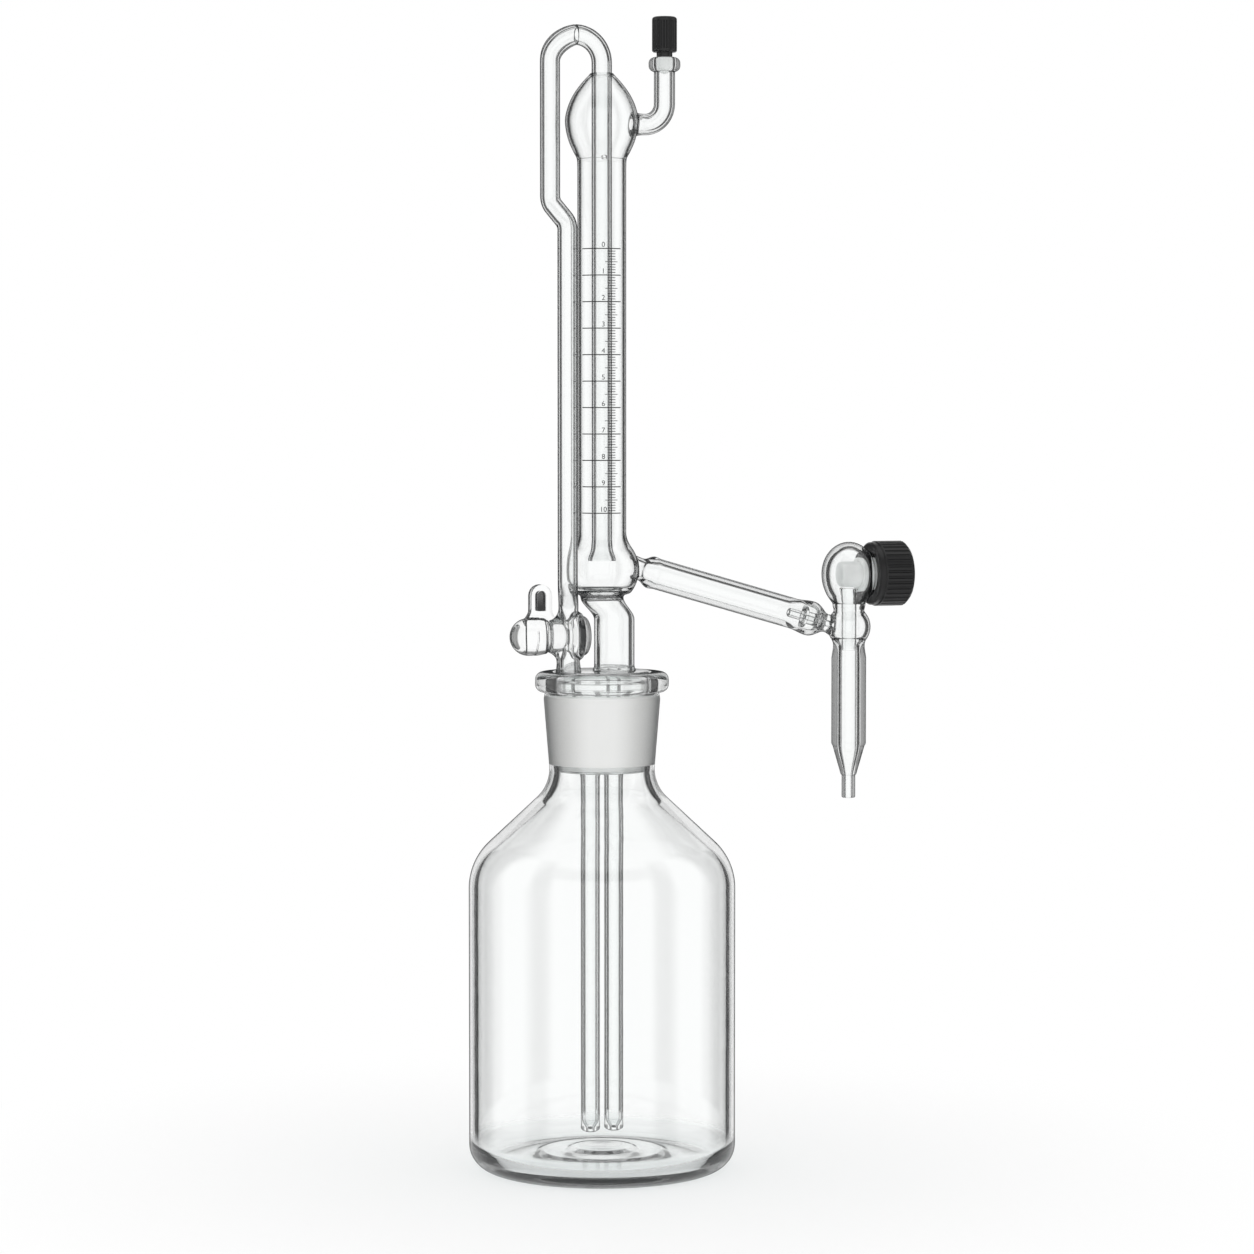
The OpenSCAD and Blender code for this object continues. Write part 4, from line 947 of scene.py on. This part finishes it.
def loop_handle():
    half_w, half_t = (handle_high.x - handle_low.x) / 2, (handle_high.y - handle_low.y) / 2
    outer = footed(half_w, handle_low.z - 2.5, handle_low.z, handle_high.z)
    bm = bmesh.new()
    edges = []
    for outline in (outer, stadium(slot_half_w, slot_low_z, slot_high_z)):
        verts = [bm.verts.new((handle_x + x, -half_t, z)) for x, z in outline]
        edges += [bm.edges.new((a, b)) for a, b in zip(verts, verts[1:] + verts[:1])]
    bmesh.ops.bridge_loops(bm, edges=edges)
    thickened(bm, 2 * half_t)
    rims = [edge for edge in bm.edges if edge.calc_face_angle(0) > math.radians(60)]
    bmesh.ops.bevel(bm, geom=rims, offset=0.8, affect="EDGES", segments=5, profile=0.5, material=-1,
                    clamp_overlap=True)
    return bm


def plug_glass():
    """Bullet head with a ring groove and a flat face, tapered key, handle and passage."""
    ball, groove, band_r, face_gap = 6.05, 0.22, 5.6, 0.3
    plug_r, taper, passage_r = 2.94, 0.04, 1.2
    ball_x, face_x = head_x + ball, barrel_x - face_gap
    length = face_x - ball_x
    outline = [(0, -ball)] + arc((0, 0), ball, -85, 0, 18)
    outline += [(ball, 1.1), (ball - groove, 1.35), (ball - groove, 1.55), (ball, 1.8)]
    outline += flow((ball, 2.4), (-0.02, 1), (band_r, length - 0.7), (-0.15, 1), 6)
    outline += arc((band_r - 0.6, length - 0.6), 0.6, 0, 90, 4)
    plug_len = rim_x - barrel_x - 1.5
    key, tip = length + face_gap, length + face_gap + plug_len
    outline += [(plug_r, length), (plug_r, key), (plug_r - taper * plug_len, tip), (0, tip)]
    body = along(revolve(outline, 64), (ball_x, 0, cock_z), (1, 0, 0))
    body = soften(combine(body, loop_handle(), "UNION"), (ball_x + 3, 0, cock_z + 6), reach=6, width=1.2)
    passage = along(cylinder(passage_r, -8, 8, 32), (cock_x, 0, cock_z))
    return combine(body, passage, "DIFFERENCE")


def slot_web():
    """Thin web that closes the handle's slot, carrying painted shade where the slot looks dark."""
    half_t = 0.6
    bm = bmesh.new()
    outline = stadium(slot_half_w, slot_low_z, slot_high_z)
    bm.faces.new([bm.verts.new((handle_x + x, -half_t, z)) for x, z in outline])
    return thickened(bm, 2 * half_t)


# Painted shade: a dark sheet fills the slot, where the handle only looks dark
piece(slot_web(), "handle_slot_shade_sheet", "plug", slot_painted_shade)
piece(plug_glass(), "stopcock_plug_glass", "plug", tube_glass,
      ["stopcock_plug", "stopcock_handle"], greased=lambda p: p.x > greased_x)


# Capillary sealed into the arm's end, and the drop tube under the piston


def arm_jet():
    """Capillary with the disc that seals it into the arm, placed along the arm."""
    thin, thick, bore, disc_r, chamfer = 1.4, 2.2, 0.6, 3.75, 0.2
    start, disc, disc_end, end = 53, 58.4, 59.0, 63.6
    outline = [(bore, start), (thin - chamfer, start), (thin, start + chamfer), (thin, 57)]
    outline += flow((thin, 57.2), (0.1, 1), (disc_r, disc), (1, 0.1), 6) + [(disc_r, disc_end)]
    outline += flow((disc_r, 59.2), (-1, 0.1), (thick, 60.2), (0, 1), 6) + [(thick, end), (bore, end)]
    return along(revolve(outline, 40, loop=True), arm_start, arm_way)


piece(arm_jet(), "arm_capillary", "head", thin_glass, ["arm_jet"])


def drop_tube():
    """Thin tube under the piston, with a rolled lip."""
    low, high = ends_z("drop_tube")
    outer, bore, lip = 2.5, 2.1, 0.4
    outline = [(bore, low), (outer, low)]
    outline += flow((outer, high - 4), (0, 1), (outer + 0.5, high - lip), (0.2, 1), 6)
    outline += arc((outer + 0.1, high - lip), lip, 0, 180, 6) + [(bore, high - 3)]
    return along(revolve(outline, 40, loop=True), (valve.x, 0, 0))


piece(drop_tube(), "drop_tube_glass", "head", film_glass, ["drop_tube"])


# Scale on the burette tube, towards the photo's side

scale_top_z, scale_low_z, scale_parts = 296.1, 211.9, 10
front = photo_azimuth - math.pi / 2
# Start and end of the scale's lines, in degrees from the tube's front, and their height in millimetres
whole_line, half_line, tenth_line = (-52, 50, 0.32), (8, 40, 0.2), (14, 34, 0.22)


def scale_mark(bm, z, start, end, height):
    """Thin enamel line round the tube."""
    low, high = tube_r - 0.02, tube_r + 0.03
    corners = [(low, z - height / 2), (high, z - height / 2), (high, z + height / 2), (low, z + height / 2)]
    angle = front + math.radians(start)
    verts = [bm.verts.new((r * math.cos(angle), r * math.sin(angle), level)) for r, level in corners]
    bmesh.ops.spin(bm, geom=[bm.faces.new(verts)], cent=(0, 0, 0), axis=(0, 0, 1),
                   angle=math.radians(end - start), steps=max(2, round(abs(end - start) / 4)))


def scale_number(bm, number, z):
    """Small number wrapped round the tube, over its line."""
    size, relief, aside, over = 2.3, 0.02, math.radians(4), 0.5
    curve = bpy.data.curves.new("number", "FONT")
    curve.body = str(number)
    curve.size = size
    curve.align_x = "CENTER"
    curve.extrude = relief
    made = bpy.data.objects.new("number", curve)
    bpy.context.collection.objects.link(made)
    bpy.context.view_layer.update()
    mesh = bpy.data.meshes.new_from_object(made.evaluated_get(bpy.context.evaluated_depsgraph_get()))
    first = len(bm.verts)
    bm.from_mesh(mesh)
    bm.verts.ensure_lookup_table()
    for vert in bm.verts[first:]:
        angle = front + vert.co.x / tube_r + aside
        radius = tube_r + 0.01 + vert.co.z
        vert.co = Vector((radius * math.cos(angle), radius * math.sin(angle), z + over + vert.co.y))
    bpy.data.objects.remove(made)
    bpy.data.curves.remove(curve)
    bpy.data.meshes.remove(mesh)


def scale():
    bm = bmesh.new()
    part = (scale_top_z - scale_low_z) / scale_parts
    tenth = (scale_top_z - scale_low_z) / (scale_parts * 10)
    for count in range(scale_parts * 10 + 1):
        line = tenth_line if count % 5 else half_line if count % 10 else whole_line
        scale_mark(bm, scale_top_z - count * tenth, *line)
    bmesh.ops.recalc_face_normals(bm, faces=bm.faces)
    for number in range(scale_parts + 1):
        scale_number(bm, number, scale_top_z - number * part)
    return bm


piece(scale(), "burette_scale", "head", enamel)


# Vent: pale bushing in the collar and the knob's black neck above it


def vent_sleeve(low_z, high_z, low_round):
    outer_r, bore_r, corner = 2.55, 1.65, 0.2
    outline = arc((outer_r - low_round, low_z + low_round), low_round, -90, 0, 8)
    outline += [(outer_r, high_z - corner), (outer_r - corner, high_z), (bore_r, high_z), (bore_r, low_z)]
    return along(revolve(outline, 48, loop=True), (vent_x, 0, 0))


piece(vent_sleeve(seat_z, collar_top_z, 0.8), "vent_bushing_sleeve", "head", white_polymer,
      ["vent_bushing"])
piece(vent_sleeve(collar_top_z + 0.05, knob_z + 0.3, 0.15), "vent_knob_neck", "knob",
      black_polymer)


# Plastic pieces keep their CAD solids

finishes = {"valve_bushing": white_polymer, "valve_piston": white_polymer, "vent_spindle": white_polymer,
            "valve_cap": black_polymer, "vent_knob": black_polymer, "piston_rings": dark_seal}
for node, finish in finishes.items():
    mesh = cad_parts[node].data
    mesh.materials.clear()
    mesh.materials.append(finish)


# Stage: pale floor, white room and the photo's camera


def floor_material():
    """Pale floor near the object that fades into the white room.

    Rays that glass or gloss bend look past its edge.
    """
    made, wire = with_nodes("pale_floor")
    place = wire.place()
    reach = wire.node("ShaderNodeVectorMath", {"operation": "LENGTH"}, {0: place}, out="Value")
    white = wire.node("ShaderNodeEmission", values={"Color": (1, 1, 1, 1), "Strength": 1.0})
    look = wire.mix(reach.ramp(0.09, 0.24), wire.diffuse((0.97, 0.97, 0.97)), white)
    bent = wire.ray("Is Glossy Ray").either(wire.ray("Is Transmission Ray"))
    output(wire, wire.mix(bent * reach.ramp(0.06, 0.1), look, wire.see_through((1, 1, 1))))
    return made


floor_r = 0.3
floor_bm = bmesh.new()
bmesh.ops.create_circle(floor_bm, cap_ends=True, radius=floor_r, segments=128)
floor = as_object(floor_bm, "floor")
floor.data.materials.append(floor_material())


def studio():
    """White room, dim beside the backdrop. Only what glass and gloss bend aside shows where it is dim."""
    made, wire = with_nodes("studio", bpy.data.worlds)
    way = wire.node("ShaderNodeTexCoord", out="Generated")
    turn = wire.node("ShaderNodeVectorRotate", {"rotation_type": "Z_AXIS"},
                     {"Vector": way, "Angle": -photo_azimuth})
    across, ahead, up = [turn.axis(name) for name in "XYZ"]
    level = (across * across + ahead * ahead + 0.0001) ** 0.5
    forward = ahead * level ** -1
    behind = 0 - forward
    backdrop = forward.ramp(0.86, 0.9).either(behind.ramp(0.6, 0.72)) * (1 - up.ramp(0.5, 0.62))
    softbox = 1 - forward.ramp(0.28, 0.42).either(behind.ramp(0.28, 0.42))
    ceiling = up.ramp(0.75, 0.9)
    glossy = wire.ray("Is Glossy Ray")
    bright = backdrop.either(ceiling).either(softbox * glossy)
    dimming = wire.math("MINIMUM", wire.ray("Glossy Depth"), 1.0) * 0.2 + 0.74
    bent = glossy.either(wire.ray("Is Transmission Ray"))
    strength = 1 - (1 - bright) * dimming * bent
    white = wire.node("ShaderNodeBackground", values={"Color": (1, 1, 1, 1), "Strength": strength})
    output(wire, white, "ShaderNodeOutputWorld")
    return made


scene = bpy.context.scene
scene.world = studio()
scene.view_settings.view_transform = "Standard"
cycles = scene.cycles
cycles.max_bounces = cycles.transmission_bounces = cycles.transparent_max_bounces = 40
cycles.glossy_bounces = 12
cycles.caustics_refractive = cycles.caustics_reflective = False

image_side, focal_px, sensor = 1254, 3893.75, 36.0
camera_distance, camera_height, aim_height, aim_right = 1.25, 0.2443, 0.17515, 0.00806
right = Vector((math.cos(photo_azimuth), math.sin(photo_azimuth), 0))
back = Vector((math.sin(photo_azimuth), -math.cos(photo_azimuth), 0))
aim = right * aim_right + Vector((0, 0, aim_height))
camera_data = bpy.data.cameras.new("photo_camera")
camera_data.sensor_width = sensor
camera_data.lens = focal_px / image_side * sensor
camera = bpy.data.objects.new("photo_camera", camera_data)
bpy.context.collection.objects.link(camera)
camera.location = right * aim_right + back * camera_distance + Vector((0, 0, camera_height))
camera.rotation_euler = (aim - camera.location).to_track_quat("-Z", "Y").to_euler()
scene.camera = camera
